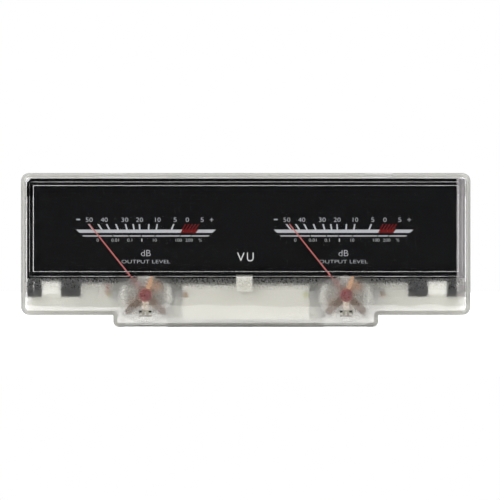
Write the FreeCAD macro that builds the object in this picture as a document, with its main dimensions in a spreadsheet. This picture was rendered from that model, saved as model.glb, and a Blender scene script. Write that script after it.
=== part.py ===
"""A twin-pointer level meter head: two moving-coil meters behind one clear moulded cover.

Millimetres. X runs to the right as the dial is read, Z runs up and Y runs to the back: the window faces -Y.
The origin is under the middle of the case, on the plane that it stands on, half way through its depth.
Each meter is drawn about its own pivot axis, which lies along Y, and is then placed in the case.
Angles are measured clockwise from straight up, as the dial is read.
"""

import FreeCAD, Part
import math
import os
import re

import Sketcher
from FreeCAD import Placement, Rotation, Vector

# Driving dimensions: name, value, what it is.
SIZES = [
    ("case_width", 134.0, "clear cover, side to side"),
    ("case_height", 42.3, "clear cover without its tab"),
    ("tab_width", 79.0, "tab below the case, which makes room for the movements"),
    ("tab_drop", 3.6, "how far the tab hangs below the case"),
    ("corner_radius", 2.4, "corners of the case"),
    ("tab_radius", 1.8, "lower corners of the tab"),
    ("tab_root_radius", 0.3, "inner corners where the tab meets the case"),
    ("front_round", 0.3, "round on the front edge of the flange"),
    ("flange_front", -10.0, "front plane of the flange, which seats behind a panel"),
    ("flange_wall", 1.4, "thickness of the flange"),
    ("cover_wall", 1.2, "side walls of the cover"),
    ("cover_depth", 13.0, "cover from flange to rim"),
    ("window_margin", 2.65, "from the window's front face to the case's top and sides"),
    ("window_sill", 5.62, "lower edge of the window's front face above the pivots"),
    ("window_rise", 2.0, "how far the window stands proud of the flange"),
    ("window_draft", 0.1, "draft of the window's sides, inside and outside"),
    ("window_wall", 1.5, "thickness of the window"),
    ("window_side", 1.0, "thickness of the window's top and ends"),
    ("window_foot", 1.4, "thickness of the window's lower side"),
    ("window_edge", 0.3, "round on the window's edges"),
    ("window_hollow", 0.22, "round inside the window's edges"),
    ("zero_slot_width", 3.8, "opening over each zero lever"),
    ("zero_slot_height", 2.0, "opening over each zero lever"),
    ("snap_width", 8.5, "upper snap lugs that hold the cover"),
    ("snap_corner", 1.3, "from the lower lugs, one under each movement, to the tab's round corner"),
    ("snap_height", 0.9, "how far a lower lug stands out, through an opening in the cover's wall"),
    ("snap_blind", 0.6, "how far an upper lug stands out, into a blind recess of that wall"),
    ("snap_length", 1.5, "lug along the depth"),
    ("snap_play", 0.15, "clearance round a lug"),
    ("snap_high", 40.0, "upper lugs, from the middle"),
    ("press_rib_width", 3.0, "ribs in the cover that press on the dial's ends"),
    ("press_rib_depth", 2.4, "how far those ribs stand in from the side wall"),
    ("fit_gap", 0.15, "clearance between cover and shell"),
    ("shell_floor", 2.0, "floor of the rear shell"),
    ("shell_wall", 1.2, "upright walls of the rear shell"),
    ("rim_height", 1.5, "low rim that centres the shell in the cover"),
    ("tray_low", 4.4, "end of the tall side walls above the case's lower edge"),
    ("well_room", 0.45, "from the yoke ring's outside to the round well behind each movement"),
    ("well_wall", 1.1, "wall and floor of the well"),
    ("well_clearance", 0.75, "room behind the rear jewel screw"),
    ("well_round", 0.9, "round on the well's rear edge"),
    ("rib_width", 1.0, "stiffening ribs on the back"),
    ("rib_height", 0.8, "stiffening ribs on the back"),
    ("dial_side_gap", 0.6, "from the dial's ends to the cover's walls, before the dial is shifted"),
    ("dial_shift", 0.4, "how far the dial and its posts sit left of the middle"),
    ("dial_top_gap", 0.3, "from the dial's upper edge to the cover's wall"),
    ("dial_drop", 3.55, "lower edge of the dial above the pivots"),
    ("dial_tab_low", 5.3, "ends of the dial's tabs above the case's lower edge"),
    ("dial_thickness", 0.5, "dial plate"),
    ("dial_gap", 0.45, "from the pointer's back to the dial"),
    ("dial_end_tab", 4.45, "width of the tab at each end of the dial"),
    ("dial_notch", 5.75, "width of the notch beside it"),
    ("dial_inner_tab", 5.9, "width of the tab beyond the notch"),
    ("dial_notch_rise", 0.6, "top of the side notches above the dial's lower edge"),
    ("dial_slot_width", 5.0, "middle notch"),
    ("dial_slot_rise", 2.5, "top of the middle notch above the dial's lower edge"),
    ("dial_arch_width", 13.4, "notch above each pivot"),
    ("dial_arch_rise", 2.35, "top of that notch above the dial's lower edge"),
    ("dial_arch_round", 1.2, "corners of that notch"),
    ("dial_stake", 0.4, "how far the locating posts stand proud of the dial"),
    ("dial_post_gap", 0.15, "clearance round the locating posts"),
    ("dial_post_rise", 0.9, "lower side of the locating posts above the ends of the tabs"),
    ("prop_radius", 1.6, "round props behind the dial"),
    ("prop_height", 21.0, "height of the props above the foot"),
    ("prop_room", 4.8, "outer props, from the yoke's ears"),
    ("pivot_inset", 9.5, "from each pivot axis to the side of the tab"),
    ("front_clearance", 0.2, "from the flange's inside to the front jewel screw"),
    ("head_thickness", 0.4, "head of the front jewel screw"),
    ("head_radius", 1.6, "head of the front jewel screw"),
    ("jewel_radius", 0.85, "shank of both jewel screws"),
    ("jewel_fit", 0.02, "clearance of a jewel screw in its bridge"),
    ("jewel_reach", 0.15, "how far a jewel screw passes through its bridge"),
    ("jewel_tail", 1.5, "rear jewel screw behind its bridge"),
    ("cup_radius", 0.45, "mouth of the jewel's cup"),
    ("cup_depth", 0.35, "jewel's cup"),
    ("driver_slot", 0.4, "width of the screwdriver slots"),
    ("driver_depth", 0.2, "depth of the screwdriver slots"),
    ("lever_play", 0.05, "zero lever under the screw's head, and on its shank"),
    ("lever_thickness", 0.35, "zero lever"),
    ("lever_gap", 0.1, "from the zero lever to the bridge"),
    ("lever_eye", 2.1, "round eye of the zero lever"),
    ("lever_width", 1.9, "lower arm of the zero lever"),
    ("lever_reach", 6.0, "end of the lower arm, from the pivot"),
    ("lever_fork", 0.5, "slot in the end of the lower arm"),
    ("lever_fork_depth", 1.0, "slot in the end of the lower arm"),
    ("lever_finger", 5.4, "where the tool turns the lever, from the pivot"),
    ("anchor_angle", 20.0, "upper arm of the zero lever"),
    ("anchor_width", 1.3, "upper arm of the zero lever"),
    ("anchor_shoulder", 4.4, "where the upper arm starts to narrow"),
    ("anchor_tip", 6.1, "tip of the upper arm, from the pivot"),
    ("anchor_tab", 0.3, "tab that holds a hairspring's outer end"),
    ("bridge_thickness", 0.6, "both bridges"),
    ("bridge_hub", 2.3, "round middle of the bridges"),
    ("bridge_arm", 2.2, "width of the bridges' arms"),
    ("bridge_foot", 1.15, "round feet of the bridges"),
    ("foot_angle", 133.0, "feet of the front bridge"),
    ("pillar_radius", 0.8, "pillars between bridge and yoke"),
    ("spring_gap", 0.35, "room in front of and behind each hairspring"),
    ("spring_width", 0.4, "hairspring strip along the axis"),
    ("spring_strip", 0.1, "hairspring strip's thickness"),
    ("spring_inner", 0.66, "first turn of the hairspring"),
    ("spring_pitch", 0.62, "from turn to turn"),
    ("spring_turns", 4.0, "turns of each hairspring"),
    ("pointer_thickness", 0.35, "pointer"),
    ("pointer_gap", 0.3, "from the pointer to the coil"),
    ("pointer_length", 27.2, "pointer's tip, from the pivot"),
    ("pointer_tip", 0.27, "width at the tip"),
    ("pointer_root", 0.46, "width where the pointer leaves its shoe"),
    ("shoe_width", 1.3, "wide foot of the pointer"),
    ("shoe_start", 1.6, "wide foot of the pointer, from the pivot"),
    ("shoe_end", 5.4, "wide foot of the pointer, from the pivot"),
    ("hub_radius", 1.1, "pointer's hub"),
    ("tail_room", 0.4, "from the pointer's tail to the pillars"),
    ("tail_width", 0.7, "pointer's tail"),
    ("side_reach", 4.2, "ends of the pointer's side arms"),
    ("side_width", 0.5, "pointer's side arms"),
    ("weight_radius", 1.0, "balance weight on the tail"),
    ("weight_room", 0.56, "from the hairspring to the balance weight on the tail"),
    ("weight_length", 1.06, "balance weight on the tail"),
    ("side_weight", 0.42, "balance weights on the side arms"),
    ("side_weight_start", 3.0, "balance weights on the side arms, from the pivot"),
    ("side_weight_length", 0.9, "balance weights on the side arms"),
    ("rest_angle", 38.5, "pointer at rest, to the left of straight up"),
    ("ring_length", 5.4, "yoke ring and core along the axis"),
    ("ring_wall", 1.8, "yoke ring"),
    ("ring_gap", 0.5, "from the winding to the yoke ring"),
    ("ring_floor", 0.4, "from the shell's rim to the yoke ring"),
    ("ring_room", 0.15, "clearance between the yoke ring and the lower lugs"),
    ("core_radius", 4.45, "core magnet"),
    ("core_chamfer", 0.3, "core magnet's edges"),
    ("spacer_width", 3.4, "blocks that hold the core in the yoke"),
    ("ear_reach", 12.2, "end of the yoke's ears, from the pivot"),
    ("ear_width", 4.4, "yoke's ears"),
    ("ear_thickness", 1.2, "yoke's ears"),
    ("ear_screw", 9.8, "screws in the ears, from the pivot"),
    ("coil_end_gap", 0.3, "from the core's ends to the coil"),
    ("coil_room", 0.3, "from the core's side to the coil"),
    ("coil_width", 2.4, "coil former along the pointer"),
    ("former_wall", 0.15, "coil former"),
    ("former_corner", 0.6, "inner corners of the coil former"),
    ("winding_depth", 0.6, "winding over the core's ends"),
    ("winding_side", 0.5, "winding in the air gap"),
    ("winding_width", 2.0, "winding along the pointer"),
    ("winding_corner", 1.1, "outer corners of the winding"),
    ("pivot_base", 1.1, "foot of each pivot on the coil"),
    ("pivot_foot", 0.2, "foot of each pivot on the coil, thickness"),
    ("staff_radius", 0.25, "pivot's shaft"),
    ("staff_fit", 0.03, "clearance of the pointer's hub on the shaft"),
    ("collet_radius", 0.55, "collet inside each hairspring"),
    ("pivot_play", 0.05, "end play in the jewels"),
    ("pivot_tip", 0.04, "radius of the pivot's point"),
    ("stop_edge", 0.1, "from the yoke ring's inner edge to the stop posts"),
    ("stop_behind", 11.5, "left stop post, behind the pointer at rest"),
    ("stop_ahead", 94.5, "right stop post, ahead of the pointer at rest"),
    ("stop_radius", 0.4, "steel stop posts"),
    ("stop_proud", 0.5, "posts beyond the pointer"),
    ("sleeve_radius", 0.65, "rubber sleeves on the stop posts"),
    ("sleeve_length", 1.2, "rubber sleeves on the stop posts"),
    ("bridge_screw", 0.45, "shanks of the bridge screws"),
    ("bridge_screw_head", 0.9, "heads of the bridge screws"),
    ("bridge_screw_cap", 0.4, "heads of the bridge screws, thickness"),
    ("bridge_screw_bite", 1.6, "bridge screws in the yoke"),
    ("mount_screw", 1.0, "shanks of the movement screws"),
    ("mount_screw_head", 1.75, "heads of the movement screws"),
    ("mount_screw_cap", 1.2, "heads of the movement screws, thickness"),
    ("screw_skin", 0.7, "what the shell's floor keeps behind the screws"),
    ("cross_width", 0.5, "cross recess"),
    ("cross_length", 2.0, "cross recess"),
    ("screw_fit", 0.1, "clearance of a screw in a plain hole"),
    ("thread_fit", 0.02, "clearance of a screw in its thread"),
    ("boss_radius", 2.2, "bosses under the ears"),
    ("nut_width", 3.0, "lock nut across its flats"),
    ("nut_thickness", 0.6, "lock nut"),
    ("pin_radius", 0.6, "solder pins"),
    ("pin_length", 7.0, "solder pins behind the shell"),
    ("pin_inside", 1.6, "solder pins inside the shell"),
    ("pin_collar", 1.3, "collar of a solder pin"),
    ("pin_collar_length", 0.5, "collar of a solder pin"),
    ("pin_reach", 5.0, "meter pins, from the pivot to each side"),
    ("pin_rise", 14.55, "meter pins above the pivots"),
    ("lamp_pin_reach", 2.54, "lamp pins, from the middle"),
    ("lamp_pin_height", 4.6, "lamp pins above the foot"),
    ("lead_radius", 0.25, "lead wires"),
    ("lead_bend", 0.7, "bends of the lead wires"),
    ("guide_end", 11.0, "ends of the light guide, from the pivots"),
    ("guide_low", 1.0, "light guide's lower edge above the cover's wall"),
    ("guide_under", 0.6, "light guide's upper edge below the dial"),
    ("guide_thickness", 1.8, "plate of the light guide"),
    ("guide_gap", 0.3, "from the dial to the light guide's plate"),
    ("guide_leg", 1.5, "legs of the light guide"),
    ("guide_leg_room", 1.0, "from the legs to the yoke's ears"),
    ("guide_leg_rise", 1.4, "lower ends of the legs above the guide's lower edge"),
    ("tongue_gap", 0.15, "clearance round the guide's tongue in the dial's middle notch"),
    ("tongue_front_gap", 0.3, "from the flange's inside to the tongue"),
    ("tongue_root", 2.0, "how far the tongue runs down the front of the plate"),
    ("board_gap", 0.3, "from the lamp board to the guide's legs and to the shell's rim"),
    ("board_height", 8.6, "lamp board"),
    ("board_thickness", 1.0, "lamp board"),
    ("board_standoff", 1.0, "from the shell's floor to the lamp board"),
    ("board_screw_inset", 3.0, "lamp board's screws, from its ends"),
    ("board_boss", 1.7, "bosses under the lamp board"),
    ("board_screw", 0.7, "shanks of the lamp board's screws"),
    ("board_screw_head", 1.3, "heads of the lamp board's screws"),
    ("board_screw_cap", 0.7, "heads of the lamp board's screws, thickness"),
    ("led_pitch", 6.0, "from lamp to lamp"),
    ("led_length", 3.0, "lamps"),
    ("led_width", 1.6, "lamps"),
    ("led_thickness", 1.0, "lamps"),
    ("led_lens", 0.6, "lens of each lamp"),
    ("led_dome", 0.3, "lens of each lamp stands proud"),
    ("resistor_length", 3.2, "resistors"),
    ("resistor_width", 1.6, "resistors"),
    ("resistor_thickness", 0.6, "resistors"),
    ("resistor_gap", 1.9, "from the resistors to the heads of the board's screws"),
]

doc = FreeCAD.newDocument("LevelMeter")
sheet = doc.addObject("Spreadsheet::Sheet", "Sizes")
for row, (alias, value, meaning) in enumerate(SIZES, start=1):
    sheet.set(f"A{row}", meaning)
    sheet.set(f"B{row}", str(value))
    sheet.setAlias(f"B{row}", alias)
doc.recompute()
ALIASES = {alias for alias, value, meaning in SIZES}

# Places across the front, worked out from the driving dimensions. PIVOT_X is the right-hand meter's.
CASE_TOP = "(tab_drop + case_height)"
PIVOT_X = "(tab_width / 2 - pivot_inset)"
COIL_INSIDE = "(core_radius + coil_room)"
COIL_OUTSIDE = f"({COIL_INSIDE} + former_wall + winding_side)"
RING_INSIDE = f"({COIL_OUTSIDE} + ring_gap)"
RING_OUTSIDE = f"({RING_INSIDE} + ring_wall)"
PILLAR_CIRCLE = f"(({RING_INSIDE} + {RING_OUTSIDE}) / 2)"
WELL_RADIUS = f"({RING_OUTSIDE} + well_room)"
STOP_CIRCLE = f"({RING_INSIDE} + stop_edge + stop_radius)"
RIM_INSET = "(cover_wall + fit_gap)"
PIVOT_Z = f"({RIM_INSET} + ring_floor + {RING_OUTSIDE})"
PINS_Z = f"({PIVOT_Z} + pin_rise)"
WINDOW_LOW = f"({PIVOT_Z} + window_sill)"
DIAL_HALF = "(case_width / 2 - cover_wall - dial_side_gap)"
DIAL_TOP = f"({CASE_TOP} - cover_wall - dial_top_gap)"
DIAL_LOW = f"({PIVOT_Z} + dial_drop)"
DIAL_TABS = "(tab_drop + dial_tab_low)"
DIAL_NOTCH_TOP = f"({DIAL_LOW} + dial_notch_rise)"
DIAL_SLOT_TOP = f"({DIAL_LOW} + dial_slot_rise)"
NOTCH_OUT = f"({DIAL_HALF} - dial_end_tab)"
NOTCH_IN = f"({NOTCH_OUT} - dial_notch)"
GUIDE_HALF = f"({PIVOT_X} - guide_end)"
GUIDE_LOW = "(cover_wall + guide_low)"
GUIDE_HIGH = f"({DIAL_LOW} - guide_under)"
LEG_OUT = f"({PIVOT_X} - ear_reach - guide_leg_room)"
BOARD_HALF = f"({LEG_OUT} - guide_leg - board_gap)"
BOARD_LOW = f"({RIM_INSET} + shell_wall + board_gap)"
BOARD_MIDDLE = f"({BOARD_LOW} + board_height / 2)"
BOARD_SCREW_X = f"({BOARD_HALF} - board_screw_inset)"
SPRING_OUTER = "(spring_inner + spring_pitch * spring_turns)"
STOP_LEFT = "(0 - rest_angle - stop_behind)"
STOP_RIGHT = "(stop_ahead - rest_angle)"

# Stations along the depth, front to back.
FLANGE_INSIDE = "(flange_front + flange_wall)"
COVER_RIM = "(flange_front + cover_depth)"
SHELL_REAR = f"({COVER_RIM} + shell_floor)"
HEAD_FRONT = f"({FLANGE_INSIDE} + front_clearance)"
HEAD_REAR = f"({HEAD_FRONT} + head_thickness)"
LEVER_FRONT = f"({HEAD_REAR} + lever_play)"
LEVER_REAR = f"({LEVER_FRONT} + lever_thickness)"
BRIDGE_FRONT = f"({LEVER_REAR} + lever_gap)"
BRIDGE_REAR = f"({BRIDGE_FRONT} + bridge_thickness)"
SPRING_FRONT = f"({BRIDGE_REAR} + spring_gap)"
SPRING_REAR = f"({SPRING_FRONT} + spring_width)"
POINTER_FRONT = f"({SPRING_REAR} + spring_gap)"
POINTER_REAR = f"({POINTER_FRONT} + pointer_thickness)"
POINTER_MIDDLE = f"({POINTER_FRONT} + pointer_thickness / 2)"
COIL_FRONT = f"({POINTER_REAR} + pointer_gap)"
RING_FRONT = f"({COIL_FRONT} + winding_depth + former_wall + coil_end_gap)"
RING_REAR = f"({RING_FRONT} + ring_length)"
EAR_FRONT = f"({RING_REAR} - ear_thickness)"
COIL_REAR = f"({RING_REAR} + coil_end_gap + former_wall + winding_depth)"
REAR_SPRING_FRONT = f"({COIL_REAR} + spring_gap)"
REAR_SPRING_REAR = f"({REAR_SPRING_FRONT} + spring_width)"
REAR_BRIDGE_FRONT = f"({REAR_SPRING_REAR} + spring_gap)"
REAR_BRIDGE_REAR = f"({REAR_BRIDGE_FRONT} + bridge_thickness)"
REAR_SCREW_END = f"({REAR_BRIDGE_REAR} + jewel_tail)"
WELL_FLOOR = f"({REAR_SCREW_END} + well_clearance)"
WELL_REAR = f"({WELL_FLOOR} + well_wall)"
DIAL_FRONT = f"({POINTER_REAR} + dial_gap)"
DIAL_REAR = f"({DIAL_FRONT} + dial_thickness)"
BOARD_REAR = f"({COVER_RIM} - board_standoff)"
BOARD_FRONT = f"({BOARD_REAR} - board_thickness)"
TONGUE_FRONT = f"({FLANGE_INSIDE} + tongue_front_gap)"
GUIDE_FRONT = f"({DIAL_REAR} + guide_gap)"
GUIDE_REAR = f"({GUIDE_FRONT} + guide_thickness)"
SNAP_REAR = f"({COVER_RIM} - rim_height)"
SNAP_FRONT = f"({SNAP_REAR} - snap_length)"
SCREW_END = f"({SHELL_REAR} - screw_skin)"


# Drawing helpers


def bound(text):
    """An expression as FreeCAD reads it: each driving dimension gets the sheet's name in front."""
    return re.sub(r"[a-z][a-z0-9_]*", lambda m: "Sizes." + m[0] if m[0] in ALIASES else m[0], str(text))


def value_of(text):
    """What an expression comes to, in millimetres or degrees."""
    found = sheet.evalExpression(bound(text))
    return float(getattr(found, "Value", found))


def polar(angle, reach, across="0"):
    """A point at a distance along an angle, and so far to its right, as expressions for X and Z."""
    turn = f"(({angle}) * 1 deg)"
    x = f"({reach}) * sin({turn}) + ({across}) * cos({turn})"
    z = f"({reach}) * cos({turn}) - ({across}) * sin({turn})"
    return x, z


def strip(angle, start, end, width, end_width=None):
    """The four corners of a straight strip that runs outwards along an angle, and may taper."""
    far = width if end_width is None else end_width
    return [
        polar(angle, start, f"-({width}) / 2"),
        polar(angle, end, f"-({far}) / 2"),
        polar(angle, end, f"({far}) / 2"),
        polar(angle, start, f"({width}) / 2"),
    ]


def rectangle(x0, x1, z0, z1):
    """The four corners of an upright rectangle."""
    return [(x0, z0), (x1, z0), (x1, z1), (x0, z1)]


def centred(x, z, width, height):
    """The four corners of an upright rectangle about a middle point."""
    return rectangle(f"{x} - {width} / 2", f"{x} + {width} / 2", f"{z} - {height} / 2", f"{z} + {height} / 2")


def mirrored(points):
    """The same outline on the other side of X = 0."""
    return [(f"-({x})", z) for x, z in points]


def shifted(points):
    """The same outline moved with the dial."""
    return [(f"{x} - dial_shift", z) for x, z in points]


def new_body(label):
    body = doc.addObject("PartDesign::Body", label)
    body.Label = label
    body.AllowCompound = True
    return body


def new_sketch(body, role, station):
    """A sketch on one of the body's own planes. On XZ it faces the front, so its station counts backwards."""
    sketch = body.newObject("Sketcher::SketchObject", "Sketch")
    support = next(f for f in body.Origin.OriginFeatures if f.Role == role)
    sketch.AttachmentSupport = [(support, "")]
    sketch.MapMode = "FlatFace"
    sign = "-" if role == "XZ_Plane" else ""
    sketch.setExpression("AttachmentOffset.Base.z", bound(f"{sign}({station})"))
    return sketch


def hold(sketch, kind, geometry, end, text):
    """Ties one coordinate of a point to an expression."""
    index = sketch.addConstraint(Sketcher.Constraint(kind, -1, 1, geometry, end, value_of(text)))
    sketch.setExpression(f"Constraints[{index}]", bound(text))


def draw_outline(sketch, points):
    """A closed outline of straight lines through points that are given as expressions."""
    first = sketch.GeometryCount
    places = [Vector(value_of(x), value_of(z), 0) for x, z in points]
    for here, there in zip(places, places[1:] + places[:1]):
        sketch.addGeometry(Part.LineSegment(here, there))
    count = len(points)
    for i, (x, z) in enumerate(points):
        sketch.addConstraint(Sketcher.Constraint("Coincident", first + i, 2, first + (i + 1) % count, 1))
        hold(sketch, "DistanceX", first + i, 1, x)
        hold(sketch, "DistanceY", first + i, 1, z)


def draw_circle(sketch, x, z, radius):
    middle = Vector(value_of(x), value_of(z), 0)
    index = sketch.addGeometry(Part.Circle(middle, Vector(0, 0, 1), value_of(radius)))
    hold(sketch, "DistanceX", index, 3, x)
    hold(sketch, "DistanceY", index, 3, z)
    size = sketch.addConstraint(Sketcher.Constraint("Radius", index, value_of(radius)))
    sketch.setExpression(f"Constraints[{size}]", bound(radius))


def drawn(body, role, station, outlines=(), circles=()):
    """A sketch with these outlines and circles."""
    sketch = new_sketch(body, role, station)
    for points in outlines:
        draw_outline(sketch, points)
    for x, z, radius in circles:
        draw_circle(sketch, x, z, radius)
    return sketch


def grow(body, front, rear, outlines=(), circles=()):
    """Adds what the outlines enclose from one station to the next, front to back."""
    pad = body.newObject("PartDesign::Pad", "Pad")
    pad.Profile = drawn(body, "XZ_Plane", front, outlines, circles)
    pad.Reversed = True
    pad.setExpression("Length", bound(f"({rear}) - ({front})"))
    doc.recompute()
    return pad


def sink(body, front, rear, outlines=(), circles=(), role="XZ_Plane", reverse=False):
    """Cuts what the outlines enclose from one station to the next, and checks that it took something away."""
    before = body.Shape.Volume
    pocket = body.newObject("PartDesign::Pocket", "Pocket")
    pocket.Profile = drawn(body, role, front, outlines, circles)
    pocket.Reversed = reverse
    pocket.setExpression("Length", bound(f"({rear}) - ({front})"))
    doc.recompute()
    if body.Shape.Volume >= before:
        raise ValueError(f"a pocket of {body.Label} cuts nothing")
    return pocket


def turn(body, points):
    """A solid turned about the pivot axis from a profile of (radius, station)."""
    revolution = body.newObject("PartDesign::Revolution", "Revolution")
    sketch = drawn(body, "XY_Plane", "0", [points])
    revolution.Profile = sketch
    revolution.ReferenceAxis = (sketch, ["V_Axis"])
    revolution.Angle = 360
    doc.recompute()
    return revolution


def dress(body, kind, edges, size):
    """A fillet or chamfer of one size on named edges of the body's last feature."""
    base = body.Tip
    feature = body.newObject(f"PartDesign::{kind}", kind)
    feature.Base = (base, edges)
    feature.setExpression("Radius" if kind == "Fillet" else "Size", bound(size))
    doc.recompute()
    return feature


def edges_of(body, wanted):
    """Names of the edges of the body's last feature for which wanted(edge) is true."""
    shape = body.Tip.Shape
    return [f"Edge{i}" for i, edge in enumerate(shape.Edges, start=1) if wanted(edge)]


def near(a, b):
    return abs(a - b) < 1e-4


def dress_plane(body, kind, station, size):
    """A fillet or chamfer on every edge of the body's last feature that lies flat at one station."""
    depth = value_of(station)
    flat = edges_of(body, lambda edge: near(edge.BoundBox.YMin, depth) and near(edge.BoundBox.YMax, depth))
    dress(body, kind, flat, size)


def runs_along(edge, axis):
    """True for a straight edge along X, Y or Z, given as 0, 1 or 2."""
    if not isinstance(edge.Curve, Part.Line):
        return False
    ends = [vertex.Point for vertex in edge.Vertexes]
    return all(near(ends[0][i], ends[1][i]) for i in range(3) if i != axis)


def corner_edges(body, x, z):
    """Edges that run front to back at this X, on either side, and this Z."""
    across, height = value_of(x), value_of(z)

    def wanted(edge):
        point = edge.CenterOfMass
        return runs_along(edge, 1) and near(abs(point.x), abs(across)) and near(point.z, height)

    return edges_of(body, wanted)


def place(piece, side, turned=False):
    """Moves a piece that is drawn about its pivot axis to its meter, turned to rest if it moves."""
    if turned:
        piece.Placement = Placement(Vector(), Rotation(Vector(0, -1, 0), 1))
        piece.setExpression("Placement.Rotation.Angle", bound("rest_angle"))
    sign = "-" if side == "left" else ""
    piece.setExpression("Placement.Base.x", bound(f"{sign}{PIVOT_X}"))
    piece.setExpression("Placement.Base.z", bound(PIVOT_Z))
    return piece


# Case


def case_outline(inset):
    """The outline of case and tab, drawn in by an inset."""
    side = f"case_width / 2 - {inset}"
    tab = f"tab_width / 2 - {inset}"
    foot = inset
    step = f"tab_drop + {inset}"
    top = f"{CASE_TOP} - {inset}"
    right = [(tab, foot), (tab, step), (side, step), (side, top)]
    return right + mirrored(right[::-1])


def round_case(body, inset):
    """Rounds the corners of an outline from case_outline."""
    side, tab = f"case_width / 2 - {inset}", f"tab_width / 2 - {inset}"
    top, step = f"{CASE_TOP} - {inset}", f"tab_drop + {inset}"
    corners = corner_edges(body, side, top) + corner_edges(body, side, step)
    dress(body, "Fillet", corners, f"corner_radius - {inset}")
    dress(body, "Fillet", corner_edges(body, tab, inset), f"tab_radius - {inset}")
    dress(body, "Fillet", corner_edges(body, tab, step), f"tab_root_radius + {inset}")


def window_outline(growth, foot="0"):
    """The window's front face, grown on every side, with its lower side raised by foot."""
    half = f"(case_width / 2 - window_margin + {growth})"
    low, high = f"{WINDOW_LOW} - ({growth}) + {foot}", f"{CASE_TOP} - window_margin + {growth}"
    return rectangle(f"-{half}", half, low, high)


def loft(body, kind, sections):
    """A body between rectangles at several stations: (station, outline)."""
    feature = body.newObject(f"PartDesign::{kind}", kind)
    sketches = [drawn(body, "XZ_Plane", station, [outline]) for station, outline in sections]
    feature.Profile = sketches[0]
    feature.Sections = sketches[1:]
    feature.Ruled = True
    doc.recompute()
    return feature


def snap_places():
    """The four snap lugs: (middle X, width, height of the cover's outside, direction out, how far out)."""
    low_width = "(2 * (pivot_inset - tab_radius - snap_corner))"
    low = [(f"{way}{PIVOT_X}", low_width, "0", -1, "snap_height") for way in ("-", "")]
    high = [(f"{way}snap_high", "snap_width", CASE_TOP, 1, "snap_blind") for way in ("-", "")]
    return low + high


def make_front_cover():
    """The clear tray: a flange with a raised window, a deep rim, and openings for zero levers and lugs."""
    body = new_body("front_cover")
    grow(body, "flange_front", COVER_RIM, [case_outline("0")])
    round_case(body, "0")
    dress_plane(body, "Fillet", "flange_front", "front_round")
    sink(body, FLANGE_INSIDE, COVER_RIM, [case_outline("cover_wall")])
    round_case(body, "cover_wall")
    face = "(flange_front - window_rise)"
    root = ("flange_front", window_outline("window_draft"))
    loft(body, "AdditiveLoft", [root, (face, window_outline("0"))])
    dress_plane(body, "Fillet", face, "window_edge")
    hollow = f"({face} + window_wall)"
    rise = "(window_foot - window_side)"
    mouth = (FLANGE_INSIDE, window_outline("window_draft - window_side", rise))
    loft(body, "SubtractiveLoft", [mouth, (hollow, window_outline("0 - window_side", rise))])
    dress_plane(body, "Fillet", hollow, "window_hollow")
    finger = f"({PIVOT_Z} - lever_finger)"
    for sign in ("-", ""):
        slot = centred(f"{sign}{PIVOT_X}", finger, "zero_slot_width", "zero_slot_height")
        sink(body, "flange_front", FLANGE_INSIDE, [slot])
    for x, width, outside, way, reach in snap_places():
        opening = rectangle(f"{x} - {width} / 2 - snap_play", f"{x} + {width} / 2 + snap_play",
                            f"{SNAP_FRONT} - snap_play", f"{SNAP_REAR} + snap_play")
        low, high = (outside, f"{outside} + cover_wall") if way < 0 else (
            f"{outside} - cover_wall", f"{outside} - {RIM_INSET} + {reach} + snap_play")
        sink(body, low, high, [opening], role="XY_Plane", reverse=True)
    middle = "(case_width / 2 - cover_wall - press_rib_depth / 2)"
    for height in (f"({CASE_TOP} - corner_radius - press_rib_width)", f"({DIAL_TABS} + press_rib_width)"):
        rib = centred(middle, height, "press_rib_depth", "press_rib_width")
        grow(body, FLANGE_INSIDE, DIAL_FRONT, [rib, mirrored(rib)])
    return body


def make_rear_shell():
    """The milky rear shell: floor, rim, tall side walls, posts, bosses, and a well behind each movement."""
    body = new_body("rear_shell")
    grow(body, COVER_RIM, SHELL_REAR, [case_outline("0")])
    round_case(body, "0")
    inset = RIM_INSET
    rim = new_body("rim_blank")
    grow(rim, SNAP_REAR, COVER_RIM, [case_outline(inset)])
    round_case(rim, inset)
    sink(rim, SNAP_REAR, COVER_RIM, [case_outline(f"({inset} + shell_wall)")])
    side = f"(case_width / 2 - {inset})"
    top = f"({CASE_TOP} - {inset})"
    low = "(tab_drop + tray_low)"
    walls = [
        (f"-{side}", low), (f"-{side}", top), (side, top), (side, low),
        (f"{side} - shell_wall", low), (f"{side} - shell_wall", f"{top} - shell_wall"),
        (f"-({side} - shell_wall)", f"{top} - shell_wall"), (f"-({side} - shell_wall)", low),
    ]
    tray = new_body("tray_blank")
    grow(tray, DIAL_REAR, COVER_RIM, [walls])
    dress(tray, "Fillet", corner_edges(tray, side, top), f"corner_radius - {inset}")
    for lug in snap_places():
        add_snap_lug(rim, *lug)
    join(body, rim, tray)
    add_posts(body)
    add_wells(body)
    add_pin_holes(body)
    add_back_ribs(body)
    return body


def add_snap_lug(rim, x, width, outside, way, reach):
    """A tongue on the rim with a wedge that clicks into the cover's wall."""
    inward, outward = "+-" if way < 0 else "-+"
    base = f"({outside} {inward} {RIM_INSET})"
    inner = f"({base} {inward} shell_wall)"
    tip = f"({base} {outward} {reach})"
    low, high = (base, inner) if way < 0 else (inner, base)
    tongue = rectangle(f"{x} - {width} / 2", f"{x} + {width} / 2", low, high)
    grow(rim, f"({SNAP_FRONT} - shell_wall)", COVER_RIM, [tongue])
    wedge = rim.newObject("PartDesign::Pad", "Wedge")
    profile = [(SNAP_FRONT, base), (SNAP_REAR, tip), (SNAP_REAR, base)]
    wedge.Profile = drawn(rim, "YZ_Plane", f"{x} - {width} / 2", [profile])
    wedge.setExpression("Length", bound(width))
    doc.recompute()


def join(body, *others):
    """Fuses other bodies into this one."""
    boolean = body.newObject("PartDesign::Boolean", "Join")
    boolean.Type = "Fuse"
    boolean.setObjects(list(others))
    doc.recompute()
    return boolean


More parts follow.
